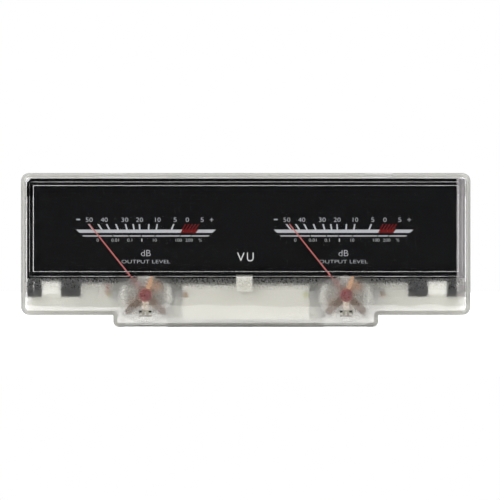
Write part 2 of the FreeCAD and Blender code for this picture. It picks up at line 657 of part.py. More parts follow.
def add_posts(body):
    """Locating posts in the dial's notches, round props behind it, and bosses under ears and lamp board."""
    post = rectangle(f"{NOTCH_IN} + dial_post_gap", f"{NOTCH_OUT} - dial_post_gap",
                     f"{DIAL_TABS} + dial_post_rise", f"{DIAL_NOTCH_TOP} - dial_post_gap")
    grow(body, f"({DIAL_FRONT} - dial_stake)", COVER_RIM, [shifted(post), shifted(mirrored(post))])
    reach = f"({PIVOT_X} + ear_reach + prop_room)"
    props = [(x, "prop_height", "prop_radius") for x in (f"-{reach}", "0", reach)]
    grow(body, DIAL_REAR, COVER_RIM, circles=props)
    ears = [(f"{sign}{PIVOT_X} {way} ear_screw", PIVOT_Z) for sign in ("-", "") for way in "-+"]
    add_bosses(body, ears, RING_REAR, "boss_radius", "mount_screw")
    board = [(f"{sign}{BOARD_SCREW_X}", BOARD_MIDDLE) for sign in ("-", "")]
    add_bosses(body, board, BOARD_REAR, "board_boss", "board_screw")


def add_bosses(body, places, seat, radius, screw):
    """Round bosses on the floor, each with a hole in which a screw cuts its thread."""
    grow(body, seat, COVER_RIM, circles=[(x, z, radius) for x, z in places])
    sink(body, seat, f"{SCREW_END} + screw_fit", circles=[(x, z, f"{screw} + thread_fit") for x, z in places])


def add_wells(body):
    """A round cup behind each movement, which leaves room for its rear bridge."""
    pivots = [(f"{sign}{PIVOT_X}", PIVOT_Z) for sign in ("-", "")]
    grow(body, SHELL_REAR, WELL_REAR, circles=[(x, z, f"{WELL_RADIUS} + well_wall") for x, z in pivots])
    dress_plane(body, "Fillet", WELL_REAR, "well_round")
    sink(body, COVER_RIM, WELL_FLOOR, circles=[(x, z, WELL_RADIUS) for x, z in pivots])
    sink(body, f"({SNAP_FRONT} - shell_wall)", COVER_RIM,
         circles=[(x, z, f"{RING_OUTSIDE} + ring_room") for x, z in pivots])


def pin_places(side=None):
    """Middles of a meter's two solder pins, or of the lamp's two."""
    if side is None:
        return [(f"{way}lamp_pin_reach", "lamp_pin_height") for way in ("-", "")]
    pivot = f"-{PIVOT_X}" if side == "left" else PIVOT_X
    return [(f"{pivot} {way} pin_reach", PINS_Z) for way in "-+"]


def add_pin_holes(body):
    places = pin_places("left") + pin_places("right") + pin_places()
    sink(body, COVER_RIM, SHELL_REAR, circles=[(x, z, "pin_radius + thread_fit") for x, z in places])


def add_back_ribs(body):
    """Stiffening ribs on the back."""
    low = f"({PIVOT_Z} + {WELL_RADIUS} + well_wall / 2)"
    high = f"({CASE_TOP} - 3 * shell_wall)"
    upright = [centred(f"{way}{PIVOT_X}", f"({low} + {high}) / 2", "rib_width", f"({high} - {low})")
               for way in ("-", "")]
    grow(body, SHELL_REAR, f"{SHELL_REAR} + rib_height", upright)
    side = "(case_width / 2 - 3 * shell_wall)"
    level = rectangle(f"-{side}", side, f"{high} - rib_width", high)
    well_side = f"({PIVOT_X} - {WELL_RADIUS} - well_wall / 2)"
    base = rectangle(f"-{well_side}", well_side, f"{PIVOT_Z} + rib_width", f"{PIVOT_Z} + 2 * rib_width")
    grow(body, SHELL_REAR, f"{SHELL_REAR} + rib_height", [level, base])


def make_dial_plate():
    """The flat dial with its end tabs, side notches, middle notch and an arch above each pivot."""
    body = new_body("dial_plate")
    near_side, far_side = [f"({PIVOT_X} {way} dial_arch_width / 2)" for way in "-+"]
    arch_top = f"({DIAL_LOW} + dial_arch_rise)"
    inner_tab = f"({NOTCH_IN} - dial_inner_tab)"
    right = [
        ("dial_slot_width / 2", DIAL_SLOT_TOP), ("dial_slot_width / 2", DIAL_LOW),
        (near_side, DIAL_LOW), (near_side, arch_top), (far_side, arch_top), (far_side, DIAL_LOW),
        (inner_tab, DIAL_LOW), (inner_tab, DIAL_TABS), (NOTCH_IN, DIAL_TABS), (NOTCH_IN, DIAL_NOTCH_TOP),
        (NOTCH_OUT, DIAL_NOTCH_TOP), (NOTCH_OUT, DIAL_TABS), (DIAL_HALF, DIAL_TABS), (DIAL_HALF, DIAL_TOP),
    ]
    grow(body, DIAL_FRONT, DIAL_REAR, [right + mirrored(right[::-1])])
    for x in (near_side, far_side):
        dress(body, "Fillet", corner_edges(body, x, arch_top), "dial_arch_round")
    dress(body, "Chamfer", corner_edges(body, DIAL_HALF, DIAL_TOP), "dial_arch_round")
    body.setExpression("Placement.Base.x", bound("0 - dial_shift"))
    return body


def make_light_guide():
    """The milky bar between the movements, with a tongue through the dial's middle notch and two legs."""
    body = new_body("light_guide")
    grow(body, GUIDE_FRONT, GUIDE_REAR, [rectangle(f"-{GUIDE_HALF}", GUIDE_HALF, GUIDE_LOW, GUIDE_HIGH)])
    half = "(dial_slot_width / 2 - tongue_gap)"
    tongue = rectangle(f"-{half}", half, f"{GUIDE_HIGH} - tongue_root", f"{DIAL_SLOT_TOP} - tongue_gap")
    grow(body, TONGUE_FRONT, GUIDE_FRONT, [shifted(tongue)])
    leg = rectangle(f"{LEG_OUT} - guide_leg", LEG_OUT, f"{GUIDE_LOW} + guide_leg_rise", GUIDE_HIGH)
    grow(body, GUIDE_REAR, COVER_RIM, [leg, mirrored(leg)])
    return body


# Lamp


def make_lamp_board():
    body = new_body("lamp_board")
    board = rectangle(f"-{BOARD_HALF}", BOARD_HALF, BOARD_LOW, f"{BOARD_LOW} + board_height")
    grow(body, BOARD_FRONT, BOARD_REAR, [board])
    holes = [(f"{way}{BOARD_SCREW_X}", BOARD_MIDDLE, "board_screw + screw_fit") for way in ("-", "")]
    holes += [(x, z, "pin_radius + thread_fit") for x, z in pin_places()]
    sink(body, BOARD_FRONT, BOARD_REAR, circles=holes)
    return body


def make_lamp_leds():
    """Four small lamps in a row on the board, each with a round lens."""
    body = new_body("lamp_leds")
    height = f"({BOARD_LOW} + board_height - led_width)"
    places = [f"({step} * led_pitch)" for step in (-1.5, -0.5, 0.5, 1.5)]
    front = f"({BOARD_FRONT} - led_thickness)"
    grow(body, front, BOARD_FRONT, [centred(x, height, "led_length", "led_width") for x in places])
    grow(body, f"{front} - led_dome", front, circles=[(x, height, "led_lens") for x in places])
    return body


def make_lamp_resistors():
    body = new_body("lamp_resistors")
    height = f"({BOARD_LOW} + 1.5 * resistor_width)"
    reach = f"({BOARD_SCREW_X} - board_screw_head - resistor_gap - resistor_length / 2)"
    places = [f"({way}{reach})" for way in ("-", "")]
    chips = [centred(x, height, "resistor_length", "resistor_width") for x in places]
    grow(body, f"({BOARD_FRONT} - resistor_thickness)", BOARD_FRONT, chips)
    return body


def make_lamp_screws():
    body = new_body("lamp_screws")
    places = [(f"{way}{BOARD_SCREW_X}", BOARD_MIDDLE) for way in ("-", "")]
    length = f"({SCREW_END} - {BOARD_FRONT})"
    add_screws(body, places, BOARD_FRONT, "board_screw", "board_screw_head", "board_screw_cap", length, -1)
    return body


def make_solder_pins(label, places, inner):
    """Two straight pins with a collar behind the shell's floor."""
    body = new_body(label)
    end = f"({SHELL_REAR} + pin_length)"
    grow(body, inner, end, circles=[(x, z, "pin_radius") for x, z in places])
    dress_plane(body, "Chamfer", end, "pin_radius / 3")
    collars = [(x, z, "pin_collar") for x, z in places]
    grow(body, SHELL_REAR, f"{SHELL_REAR} + pin_collar_length", circles=collars)
    return body


def add_screws(body, places, seat, shank, head, cap, length, way):
    """Slotted screws with their heads on a seat: way is -1 with the head in front of it, 1 behind it."""
    outer = f"({seat} {'-' if way < 0 else '+'} {cap})"
    end = f"({seat} {'+' if way < 0 else '-'} ({length}))"
    heads, shanks = sorted([outer, seat], key=value_of), sorted([seat, end], key=value_of)
    grow(body, *heads, circles=[(x, z, head) for x, z in places])
    grow(body, *shanks, circles=[(x, z, shank) for x, z in places])
    bottom = f"({outer} {'+' if way < 0 else '-'} driver_depth)"
    slots = [centred(f"({x})", f"({z})", f"(3 * {head})", "driver_slot") for x, z in places]
    sink(body, *sorted([outer, bottom], key=value_of), slots)


# Movement: every piece is drawn about the pivot axis


def make_yoke_ring(side):
    """The soft-iron ring with two ears, tapped for the bridges' screws."""
    body = new_body(f"{side}_yoke_ring")
    grow(body, RING_FRONT, RING_REAR, circles=[("0", "0", RING_OUTSIDE)])
    ear = rectangle("core_radius", "ear_reach", "-ear_width / 2", "ear_width / 2")
    grow(body, EAR_FRONT, RING_REAR, [ear, mirrored(ear)])
    ends = [name for z in ("-ear_width / 2", "ear_width / 2") for name in corner_edges(body, "ear_reach", z)]
    dress(body, "Fillet", ends, "ear_width / 2 - fit_gap")
    sink(body, RING_FRONT, RING_REAR, circles=[("0", "0", RING_INSIDE)])
    screws = [(f"{way}ear_screw", "0", "mount_screw + screw_fit") for way in ("-", "")]
    sink(body, EAR_FRONT, RING_REAR, circles=screws)
    tapped = "bridge_screw + thread_fit"
    depth = "(bridge_screw_bite + screw_fit)"
    front = [(*polar(angle, PILLAR_CIRCLE), tapped) for angle in ("foot_angle", "-foot_angle")]
    sink(body, RING_FRONT, f"{RING_FRONT} + {depth}", circles=front)
    rear = [(*polar(angle, PILLAR_CIRCLE), tapped) for angle in ("0", "180")]
    sink(body, f"({RING_REAR} - {depth})", RING_REAR, circles=rear)
    return place(body, side)


def make_core_magnet(side):
    body = new_body(f"{side}_core_magnet")
    grow(body, RING_FRONT, RING_REAR, circles=[("0", "0", "core_radius")])
    rims = edges_of(body, lambda e: near(e.BoundBox.YMin, e.BoundBox.YMax))
    dress(body, "Chamfer", rims, "core_chamfer")
    return place(body, side)


def make_core_spacers(side):
    """Two blocks that fill the air gap above and below, clear of the coil's sweep, and hold the core."""
    outer = primitive("Part::Cylinder", "SpacerOuter", Radius=RING_INSIDE)
    inner = primitive("Part::Cylinder", "SpacerInner", Radius="core_radius")
    for cylinder in (outer, inner):
        cylinder.Placement = Placement(Vector(), Rotation(Vector(1, 0, 0), -90))
        cylinder.setExpression("Height", bound("ring_length - 2 * core_chamfer"))
        cylinder.setExpression("Placement.Base.y", bound(f"{RING_FRONT} + core_chamfer"))
    gap = doc.addObject("Part::Cut", "SpacerGap")
    gap.Base, gap.Tool = outer, inner
    height = f"4 * {RING_INSIDE}"
    bar = primitive("Part::Box", "SpacerBar", Length="spacer_width", Width="ring_length", Height=height)
    bar.setExpression("Placement.Base.x", bound("-spacer_width / 2"))
    bar.setExpression("Placement.Base.y", bound(RING_FRONT))
    bar.setExpression("Placement.Base.z", bound(f"-2 * {RING_INSIDE}"))
    blocks = doc.addObject("Part::Common", f"{side}_core_spacers")
    blocks.Label = f"{side}_core_spacers"
    blocks.Base, blocks.Tool = gap, bar
    doc.recompute()
    return place(blocks, side)


def primitive(kind, name, **sizes):
    """A Part primitive with its sizes tied to expressions."""
    piece = doc.addObject(kind, name)
    for size, text in sizes.items():
        piece.setExpression(size, bound(text))
    return piece


def bridge_plate(body, near_face, far_face, ring_face, angles):
    """A flat bridge: hub, an arm and a foot for each angle, and pillars that stand on the ring."""
    plate = sorted([near_face, far_face], key=value_of)
    grow(body, *plate, circles=[("0", "0", "bridge_hub")])
    for angle in angles:
        grow(body, *plate, [strip(angle, "0", PILLAR_CIRCLE, "bridge_arm")])
    feet = [polar(angle, PILLAR_CIRCLE) for angle in angles]
    grow(body, *plate, circles=[(x, z, "bridge_foot") for x, z in feet])
    pillars = sorted([near_face, ring_face], key=value_of)
    grow(body, *pillars, circles=[(x, z, "pillar_radius") for x, z in feet])
    sink(body, *plate, circles=[("0", "0", "jewel_radius + jewel_fit")])
    through = sorted([far_face, ring_face], key=value_of)
    sink(body, *through, circles=[(x, z, "bridge_screw + screw_fit") for x, z in feet])


def make_front_bridge(side):
    body = new_body(f"{side}_front_bridge")
    bridge_plate(body, BRIDGE_REAR, BRIDGE_FRONT, RING_FRONT, ("foot_angle", "-foot_angle"))
    return place(body, side)


def make_rear_bridge(side):
    """The straight rear bridge, with a short arm and a peg for the rear hairspring's outer end."""
    body = new_body(f"{side}_rear_bridge")
    bridge_plate(body, REAR_BRIDGE_FRONT, REAR_BRIDGE_REAR, RING_REAR, ("0", "180"))
    angle, peg = "90 + anchor_angle", f"{SPRING_OUTER} + spring_strip"
    reach = f"({peg} + anchor_tab)"
    arm = strip(angle, "bridge_hub - anchor_tab", reach, "anchor_width")
    grow(body, REAR_BRIDGE_FRONT, REAR_BRIDGE_REAR, [arm])
    grow(body, REAR_SPRING_FRONT, REAR_BRIDGE_FRONT, [strip(angle, peg, reach, "anchor_width")])
    return place(body, side)


def make_front_jewel_screw(side):
    """The slotted front screw that carries the jewel and holds the zero lever under its head."""
    body = new_body(f"{side}_front_jewel_screw")
    end = f"({BRIDGE_REAR} + jewel_reach)"
    turn(body, [("0", HEAD_FRONT), ("head_radius", HEAD_FRONT), ("head_radius", HEAD_REAR),
                ("jewel_radius", HEAD_REAR), ("jewel_radius", end), ("cup_radius", end),
                ("0", f"{end} - cup_depth")])
    slot = centred("0", "0", "(3 * head_radius)", "driver_slot")
    sink(body, HEAD_FRONT, f"{HEAD_FRONT} + driver_depth", [slot])
    return place(body, side)


def make_rear_jewel_screw(side):
    body = new_body(f"{side}_rear_jewel_screw")
    start = f"({REAR_BRIDGE_FRONT} - jewel_reach)"
    turn(body, [("0", f"{start} + cup_depth"), ("cup_radius", start), ("jewel_radius", start),
                ("jewel_radius", REAR_SCREW_END), ("0", REAR_SCREW_END)])
    slot = centred("0", "0", "(3 * jewel_radius)", "driver_slot")
    sink(body, f"({REAR_SCREW_END} - driver_depth)", REAR_SCREW_END, [slot])
    return place(body, side)


def make_rear_lock_nut(side):
    body = new_body(f"{side}_rear_lock_nut")
    across = "(nut_width / 2 / cos(30 deg))"
    hexagon = [polar(str(60 * i), across) for i in range(6)]
    grow(body, REAR_BRIDGE_REAR, f"{REAR_BRIDGE_REAR} + nut_thickness", [hexagon])
    sink(body, REAR_BRIDGE_REAR, f"{REAR_BRIDGE_REAR} + nut_thickness",
         circles=[("0", "0", "jewel_radius + jewel_fit")])
    return place(body, side)


def make_pivots(side):
    """The hardened pivots on the front and back of the coil, each with a collet for its hairspring."""
    made = []
    ends = {
        "front": (COIL_FRONT, SPRING_REAR, SPRING_FRONT, f"({BRIDGE_REAR} + jewel_reach)", "-"),
        "rear": (COIL_REAR, REAR_SPRING_FRONT, REAR_SPRING_REAR, f"({REAR_BRIDGE_FRONT} - jewel_reach)", "+"),
    }
    for end, (coil, collet_near, collet_far, mouth, out) in ends.items():
        body = new_body(f"{side}_{end}_pivot")
        foot = f"({coil} {out} pivot_foot)"
        tip = f"({mouth} {out} cup_depth {'+' if out == '-' else '-'} pivot_play)"
        turn(body, [("0", coil), ("pivot_base", coil), ("pivot_base", foot), ("staff_radius", foot),
                    ("staff_radius", collet_near), ("collet_radius", collet_near),
                    ("collet_radius", collet_far), ("staff_radius", collet_far), ("staff_radius", mouth),
                    ("pivot_tip", tip), ("0", tip)])
        made.append(place(body, side, turned=True))
    return made


def spiral_face(inner, pitch, turns, thickness):
    """A flat spiral strip of half circles. Each half turn moves its centre, so the radius grows evenly."""
    inside, outside = [], []
    for half in range(round(2 * turns)):
        up = 1 if half % 2 == 0 else -1
        radius = inner + pitch * (half + 0.5) / 2
        middle = Vector(up * pitch / 4, 0, 0)
        for edges, r in ((inside, radius), (outside, radius + thickness)):
            a, b = middle - Vector(up * r, 0, 0), middle + Vector(up * r, 0, 0)
            edges.append(Part.Arc(a, middle + Vector(0, 0, up * r), b).toShape())
    ends = [(e[0].Vertexes[0].Point, e[-1].Vertexes[-1].Point) for e in (inside, outside)]
    closing = [Part.makeLine(ends[0][i], ends[1][i]) for i in (0, 1)]
    return Part.Face(Part.Wire(Part.__sortEdges__(inside + outside + closing)))


def make_hairspring(side, end):
    """A flat spiral strip from the collet out to its anchor, which lies along the anchor's angle."""
    front, angle = {
        "front": (SPRING_FRONT, "anchor_angle"),
        "rear": (REAR_SPRING_FRONT, "90 + anchor_angle"),
    }[end]
    sizes = ("spring_inner", "spring_pitch", "spring_turns", "spring_strip")
    face = spiral_face(*[value_of(size) for size in sizes])
    solid = face.extrude(Vector(0, value_of("spring_width"), 0))
    solid.rotate(Vector(), Vector(0, 1, 0), value_of(angle) + 90)
    solid.translate(Vector(0, value_of(front), 0))
    piece = doc.addObject("Part::Feature", f"{side}_{end}_hairspring")
    piece.Label = f"{side}_{end}_hairspring"
    piece.Shape = solid
    return place(piece, side)


def coil_frame(body, side, front, rear, side_wall, end_wall, width):
    """A rectangular frame round the core, drawn in plan: its walls stand outside side, front and rear."""
    outside = f"({side} + {side_wall})"
    outer = rectangle(f"-{outside}", outside, f"{front} - {end_wall}", f"{rear} + {end_wall}")
    inner = rectangle(f"-{side}", side, front, rear)
    pad = body.newObject("PartDesign::Pad", "Frame")
    pad.Profile = drawn(body, "XY_Plane", "0", [outer, inner])
    pad.Midplane = True
    pad.setExpression("Length", bound(width))
    doc.recompute()
    return outside


def frame_corners(body, x, stations):
    """Edges along Z at this X, on either side, and at these stations."""
    across, depths = value_of(x), [value_of(station) for station in stations]

    def wanted(edge):
        point = edge.CenterOfMass
        at_station = any(near(point.y, depth) for depth in depths)
        return runs_along(edge, 2) and near(abs(point.x), across) and at_station

    return edges_of(body, wanted)


def make_coil(side):
    """The aluminium former round the core, and the copper winding on it."""
    front, rear = f"({RING_FRONT} - coil_end_gap)", f"({RING_REAR} + coil_end_gap)"
    former = new_body(f"{side}_coil_former")
    outside = coil_frame(former, COIL_INSIDE, front, rear, "former_wall", "former_wall", "coil_width")
    dress(former, "Fillet", frame_corners(former, COIL_INSIDE, (front, rear)), "former_corner")
    ends = (f"{front} - former_wall", f"{rear} + former_wall")
    dress(former, "Fillet", frame_corners(former, outside, ends), "former_corner + former_wall")
    winding = new_body(f"{side}_coil_winding")
    sizes = ("winding_side", "winding_depth", "winding_width")
    skin = coil_frame(winding, outside, f"({ends[0]})", f"({ends[1]})", *sizes)
    dress(winding, "Fillet", frame_corners(winding, outside, ends), "former_corner")
    dress(winding, "Fillet", frame_corners(winding, skin, (COIL_FRONT, COIL_REAR)), "winding_corner")
    return [place(former, side, turned=True), place(winding, side, turned=True)]


def make_pointer(side):
    """The pointer: hub, shoe, tapering needle, and tail and side arms for the balance weights."""
    body = new_body(f"{side}_pointer")
    layer = (POINTER_FRONT, POINTER_REAR)
    grow(body, *layer, circles=[("0", "0", "hub_radius")])
    grow(body, *layer, [strip("0", "hub_radius / 2", "pointer_length", "pointer_root", "pointer_tip")])
    grow(body, *layer, [strip("0", "hub_radius / 2", "shoe_start", "side_width", "shoe_width")])
    grow(body, *layer, [strip("0", "shoe_start", "shoe_end", "shoe_width", "pointer_root")])
    tail = f"{PILLAR_CIRCLE} - pillar_radius - tail_room"
    grow(body, *layer, [strip("180", "hub_radius / 2", tail, "tail_width")])
    for angle in ("90", "-90"):
        grow(body, *layer, [strip(angle, "hub_radius / 2", "side_reach", "side_width")])
    sink(body, *layer, circles=[("0", "0", "staff_radius + staff_fit")])
    return place(body, side, turned=True)


def make_balance_weights(side):
    """Three weights that slide along the pointer's tail and side arms."""
    body = new_body(f"{side}_balance_weights")
    start = f"({SPRING_OUTER} + spring_strip + weight_room)"
    weights = [
        ("XY_Plane", f"0 - {start} - weight_length", "weight_length", "weight_radius", "tail_width"),
        ("YZ_Plane", "side_weight_start", "side_weight_length", "side_weight", "side_width"),
        ("YZ_Plane", "0 - side_weight_start - side_weight_length", "side_weight_length", "side_weight",
         "side_width"),
    ]
    for role, station, length, radius, arm in weights:
        pad = body.newObject("PartDesign::Pad", "Weight")
        sketch = new_sketch(body, role, station)
        along = (POINTER_MIDDLE, "0") if role == "YZ_Plane" else ("0", POINTER_MIDDLE)
        draw_circle(sketch, *along, radius)
        hole = (f"({arm} + 2 * thread_fit)", "(pointer_thickness + 2 * thread_fit)")
        draw_outline(sketch, centred(*along, *(hole if role == "XY_Plane" else hole[::-1])))
        pad.Profile = sketch
        pad.setExpression("Length", bound(length))
        doc.recompute()
    return place(body, side, turned=True)


def make_zero_lever(side):
    """The zero lever: an eye on the jewel screw, a forked lower arm and an arm that holds the hairspring."""
    body = new_body(f"{side}_zero_lever")
    layer = (LEVER_FRONT, LEVER_REAR)
    grow(body, *layer, circles=[("0", "0", "lever_eye")])
    grow(body, *layer, [strip("180", "jewel_radius", "lever_reach", "lever_width")])
    grow(body, *layer, [strip("anchor_angle", "jewel_radius", "anchor_shoulder", "anchor_width")])
    grow(body, *layer, [strip("anchor_angle", "anchor_shoulder", "anchor_tip", "anchor_width", "anchor_tab")])
    start = f"({SPRING_OUTER} + spring_strip)"
    tab = strip("anchor_angle", start, f"{start} + anchor_tab", "anchor_width")
    grow(body, LEVER_REAR, SPRING_REAR, [tab])
    sink(body, *layer, circles=[("0", "0", "jewel_radius + lever_play")])
    fork = strip("180", "lever_reach - lever_fork_depth", "lever_reach + lever_fork", "lever_fork")
    sink(body, *layer, [fork])
    return place(body, side)


def stop_places():
    return [polar(angle, STOP_CIRCLE) for angle in (STOP_LEFT, STOP_RIGHT)]


def make_stop_posts(side):
    body = new_body(f"{side}_stop_posts")
    posts = [(x, z, "stop_radius") for x, z in stop_places()]
    grow(body, f"({POINTER_FRONT} - stop_proud)", RING_FRONT, circles=posts)
    return place(body, side)


def make_stop_sleeves(side):
    body = new_body(f"{side}_stop_sleeves")
    front = f"({POINTER_MIDDLE} - sleeve_length / 2)"
    rear = f"({POINTER_MIDDLE} + sleeve_length / 2)"
    grow(body, front, rear, circles=[(x, z, "sleeve_radius") for x, z in stop_places()])
    sink(body, front, rear, circles=[(x, z, "stop_radius + thread_fit") for x, z in stop_places()])
    return place(body, side)


def make_bridge_screws(side):
    """Four small screws: two hold the front bridge and two the rear one."""
    body = new_body(f"{side}_bridge_screws")
    sizes = ("bridge_screw", "bridge_screw_head", "bridge_screw_cap")
    front = [polar(angle, PILLAR_CIRCLE) for angle in ("foot_angle", "-foot_angle")]
    length = f"{RING_FRONT} - {BRIDGE_FRONT} + bridge_screw_bite"
    add_screws(body, front, BRIDGE_FRONT, *sizes, length, -1)
    rear = [polar(angle, PILLAR_CIRCLE) for angle in ("0", "180")]
    length = f"{REAR_BRIDGE_REAR} - {RING_REAR} + bridge_screw_bite"
    add_screws(body, rear, REAR_BRIDGE_REAR, *sizes, length, 1)
    return place(body, side)


def make_mount_screws(side):
    """Two cross-recessed screws through the yoke's ears."""
    body = new_body(f"{side}_mount_screws")
    places = [(f"{way}ear_screw", "0") for way in ("-", "")]
    head = f"({EAR_FRONT} - mount_screw_cap)"
    grow(body, head, EAR_FRONT, circles=[(x, z, "mount_screw_head") for x, z in places])
    dress_plane(body, "Fillet", head, "mount_screw_cap / 2")
    grow(body, EAR_FRONT, SCREW_END, circles=[(x, z, "mount_screw") for x, z in places])
    recess = f"{head} + mount_screw_cap / 2"
    for shape in (("cross_length", "cross_width"), ("cross_width", "cross_length")):
        sink(body, head, recess, [centred(x, z, *shape) for x, z in places])
    return place(body, side)


def soft_path(points, bend):
    """A path of straight runs joined by tangent arcs."""
    edges, last = [], points[0]
    for before, corner, after in zip(points, points[1:], points[2:]):
        back, on = (before - corner).normalize(), (after - corner).normalize()
        half = back.getAngle(on) / 2
        start, end = corner + back * (bend / math.tan(half)), corner + on * (bend / math.tan(half))
        centre = corner + (back + on).normalize() * (bend / math.sin(half))
        edges.append(Part.makeLine(last, start))
        edges.append(Part.Arc(start, centre + (corner - centre).normalize() * bend, end).toShape())
        last = end
    edges.append(Part.makeLine(last, points[-1]))
    return Part.Wire(edges)


def tube(points, radius, bend):
    """A round wire along a path, checked against its length."""
    path = soft_path(points, bend)
    ring = Part.Wire(Part.makeCircle(radius, points[0], points[1] - points[0]))
    solid = path.makePipeShell([ring], True, False)
    expected = math.pi * radius**2 * path.Length
    if abs(solid.Volume - expected) > 0.02 * expected:
        raise ValueError("a lead wire has the wrong volume")
    return solid


def make_lead_wires(side):
    """Two leads, from the solder pins to an ear of the yoke and to the rear bridge."""
    radius, bend = value_of("lead_radius"), value_of("lead_bend")
    pin_side, pin_up = value_of("pin_reach"), value_of("pin_rise")
    clear = value_of("pin_radius + lead_radius + thread_fit")
    level = value_of(f"{COVER_RIM} - pin_inside / 2")
    ear = -value_of("ear_screw + mount_screw_head + lead_radius + thread_fit")
    seat = value_of(f"{EAR_FRONT} - thread_fit")
    front = [
        Vector(-pin_side - clear, level, pin_up),
        Vector(ear, level, pin_up - 2 * clear),
        Vector(ear, level, pin_up / 2),
        Vector(ear, seat - 2.2 * bend, 4 * bend),
        Vector(ear, seat - 2.2 * bend, 0),
        Vector(ear, seat, 0),
    ]
    foot = value_of(PILLAR_CIRCLE)
    plate = value_of(f"({REAR_BRIDGE_FRONT} + {REAR_BRIDGE_REAR}) / 2")
    edge = value_of("bridge_foot + thread_fit")
    rear = [
        Vector(pin_side, level, pin_up - clear),
        Vector(pin_side, level, foot + 4 * bend),
        Vector(edge + 2.2 * bend, level, foot),
        Vector(edge + 2.2 * bend, plate, foot),
        Vector(edge, plate, foot),
    ]
    piece = doc.addObject("Part::Feature", f"{side}_lead_wires")
    piece.Label = f"{side}_lead_wires"
    piece.Shape = Part.makeCompound([tube(front, radius, bend), tube(rear, radius, bend)])
    return place(piece, side)


def make_movement(side):
    """All pieces of one meter."""
    made = [
        make_yoke_ring(side), make_core_magnet(side), make_core_spacers(side), make_front_bridge(side),
        make_rear_bridge(side), make_front_jewel_screw(side), make_rear_jewel_screw(side),
        make_rear_lock_nut(side), make_hairspring(side, "front"), make_hairspring(side, "rear"),
        make_pointer(side), make_balance_weights(side), make_zero_lever(side), make_stop_posts(side),
        make_stop_sleeves(side), make_bridge_screws(side), make_mount_screws(side), make_lead_wires(side),
        make_solder_pins(f"{side}_solder_pins", pin_places(side), f"({COVER_RIM} - pin_inside)"),
    ]
    return made + make_pivots(side) + make_coil(side)


def check_document():
    """Stops the build if any object of the document failed."""
    doc.recompute()
    for piece in doc.Objects:
        if "Invalid" in piece.State or "Error" in piece.State:
            raise ValueError(f"{piece.Label} failed: {piece.State}")


def write_parts(pieces):
    """Checks each sub-part's shape and writes it to its STEP file."""
    os.makedirs("parts", exist_ok=True)
    for piece in pieces:
        shape = piece.Shape
        if shape.isNull() or not shape.isValid() or not shape.Solids:
            raise ValueError(f"{piece.Label} has no valid solid")
        shape.exportStep(os.path.join("parts", f"{piece.Label}.step"))
        print(f"{piece.Label}: {len(shape.Solids)} solids, {shape.Volume:.2f} mm3")


parts = [
    make_front_cover(), make_rear_shell(), make_dial_plate(), make_light_guide(), make_lamp_board(),
    make_lamp_leds(), make_lamp_resistors(), make_lamp_screws(),
    make_solder_pins("lamp_solder_pins", pin_places(), f"({BOARD_FRONT} - pin_radius)"),
]
for meter in ("left", "right"):
    parts += make_movement(meter)
check_document()
write_parts(parts)
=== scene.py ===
# %% [markdown]
# # A double level meter, finished in Blender
#
# The object is the head of a stereo level meter. Two moving-coil movements sit
# side by side behind one clear moulded cover, with a black decibel dial, two
# red needles and a frosted band that hides the works below the window.
#
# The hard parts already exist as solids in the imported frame. This lesson gives
# each of them a finish, and adds what is too thin or too small for the solids:
# the printed scales, the frosted texture, the solder and the marks of the
# mould. Blender gets metres, and MM turns a drawing's millimetres into them.

# %% Load the frame
import math

import bpy
import numpy as np
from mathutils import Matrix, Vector


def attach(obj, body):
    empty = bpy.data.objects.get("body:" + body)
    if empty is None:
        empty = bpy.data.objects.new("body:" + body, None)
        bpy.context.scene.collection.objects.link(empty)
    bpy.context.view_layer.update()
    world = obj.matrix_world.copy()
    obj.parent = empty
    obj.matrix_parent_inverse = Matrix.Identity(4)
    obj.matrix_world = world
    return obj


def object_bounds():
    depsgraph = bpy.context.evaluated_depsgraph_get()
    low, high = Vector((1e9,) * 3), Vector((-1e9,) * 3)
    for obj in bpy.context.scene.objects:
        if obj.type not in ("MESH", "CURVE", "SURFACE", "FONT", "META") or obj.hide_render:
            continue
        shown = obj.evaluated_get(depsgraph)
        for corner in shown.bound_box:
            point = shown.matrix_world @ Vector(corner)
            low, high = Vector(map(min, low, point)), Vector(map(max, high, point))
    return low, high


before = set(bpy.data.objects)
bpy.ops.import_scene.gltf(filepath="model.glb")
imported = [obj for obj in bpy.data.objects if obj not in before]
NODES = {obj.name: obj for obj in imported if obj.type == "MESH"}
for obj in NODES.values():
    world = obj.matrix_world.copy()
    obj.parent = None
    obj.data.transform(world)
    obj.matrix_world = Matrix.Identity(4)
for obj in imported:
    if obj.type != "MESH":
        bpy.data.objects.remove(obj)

CAD_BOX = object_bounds()
MM = 0.001

print("nodes:", len(NODES))
print("box in mm:", [[round(value / MM, 1) for value in corner] for corner in CAD_BOX])

# %% [markdown]
# ## The camera
#
# A product of this kind is shown from straight in front, from far enough away
# that its sides hardly converge. A long lens does that: the frame is 149 mm
# wide at the flange, seen from 750 mm. The camera stands level with the middle
# of the object. Moving it sideways would show one side wall, so a small
# horizontal shift places the object a little left of the middle.

# %% Camera
FLANGE_FRONT = -10.0 * MM
SENSOR = 36.0
DISTANCE = 750 * MM
FRAME_WIDTH = 149.05 * MM
SHIFT = 0.0085

camera = bpy.data.objects.new("camera", bpy.data.cameras.new("camera"))
camera.data.sensor_width = SENSOR
camera.data.lens = SENSOR * DISTANCE / FRAME_WIDTH
camera.data.shift_x = SHIFT
camera.data.clip_start = 0.01
camera.location = (0, FLANGE_FRONT - DISTANCE, (CAD_BOX[0].z + CAD_BOX[1].z) / 2)
camera.rotation_euler = (math.radians(90), 0, 0)
bpy.context.collection.objects.link(camera)
bpy.context.scene.camera = camera
bpy.context.scene.view_settings.view_transform = "Standard"
print("lens in mm:", round(camera.data.lens, 1), "height in mm:", round(camera.location.z / MM, 2))

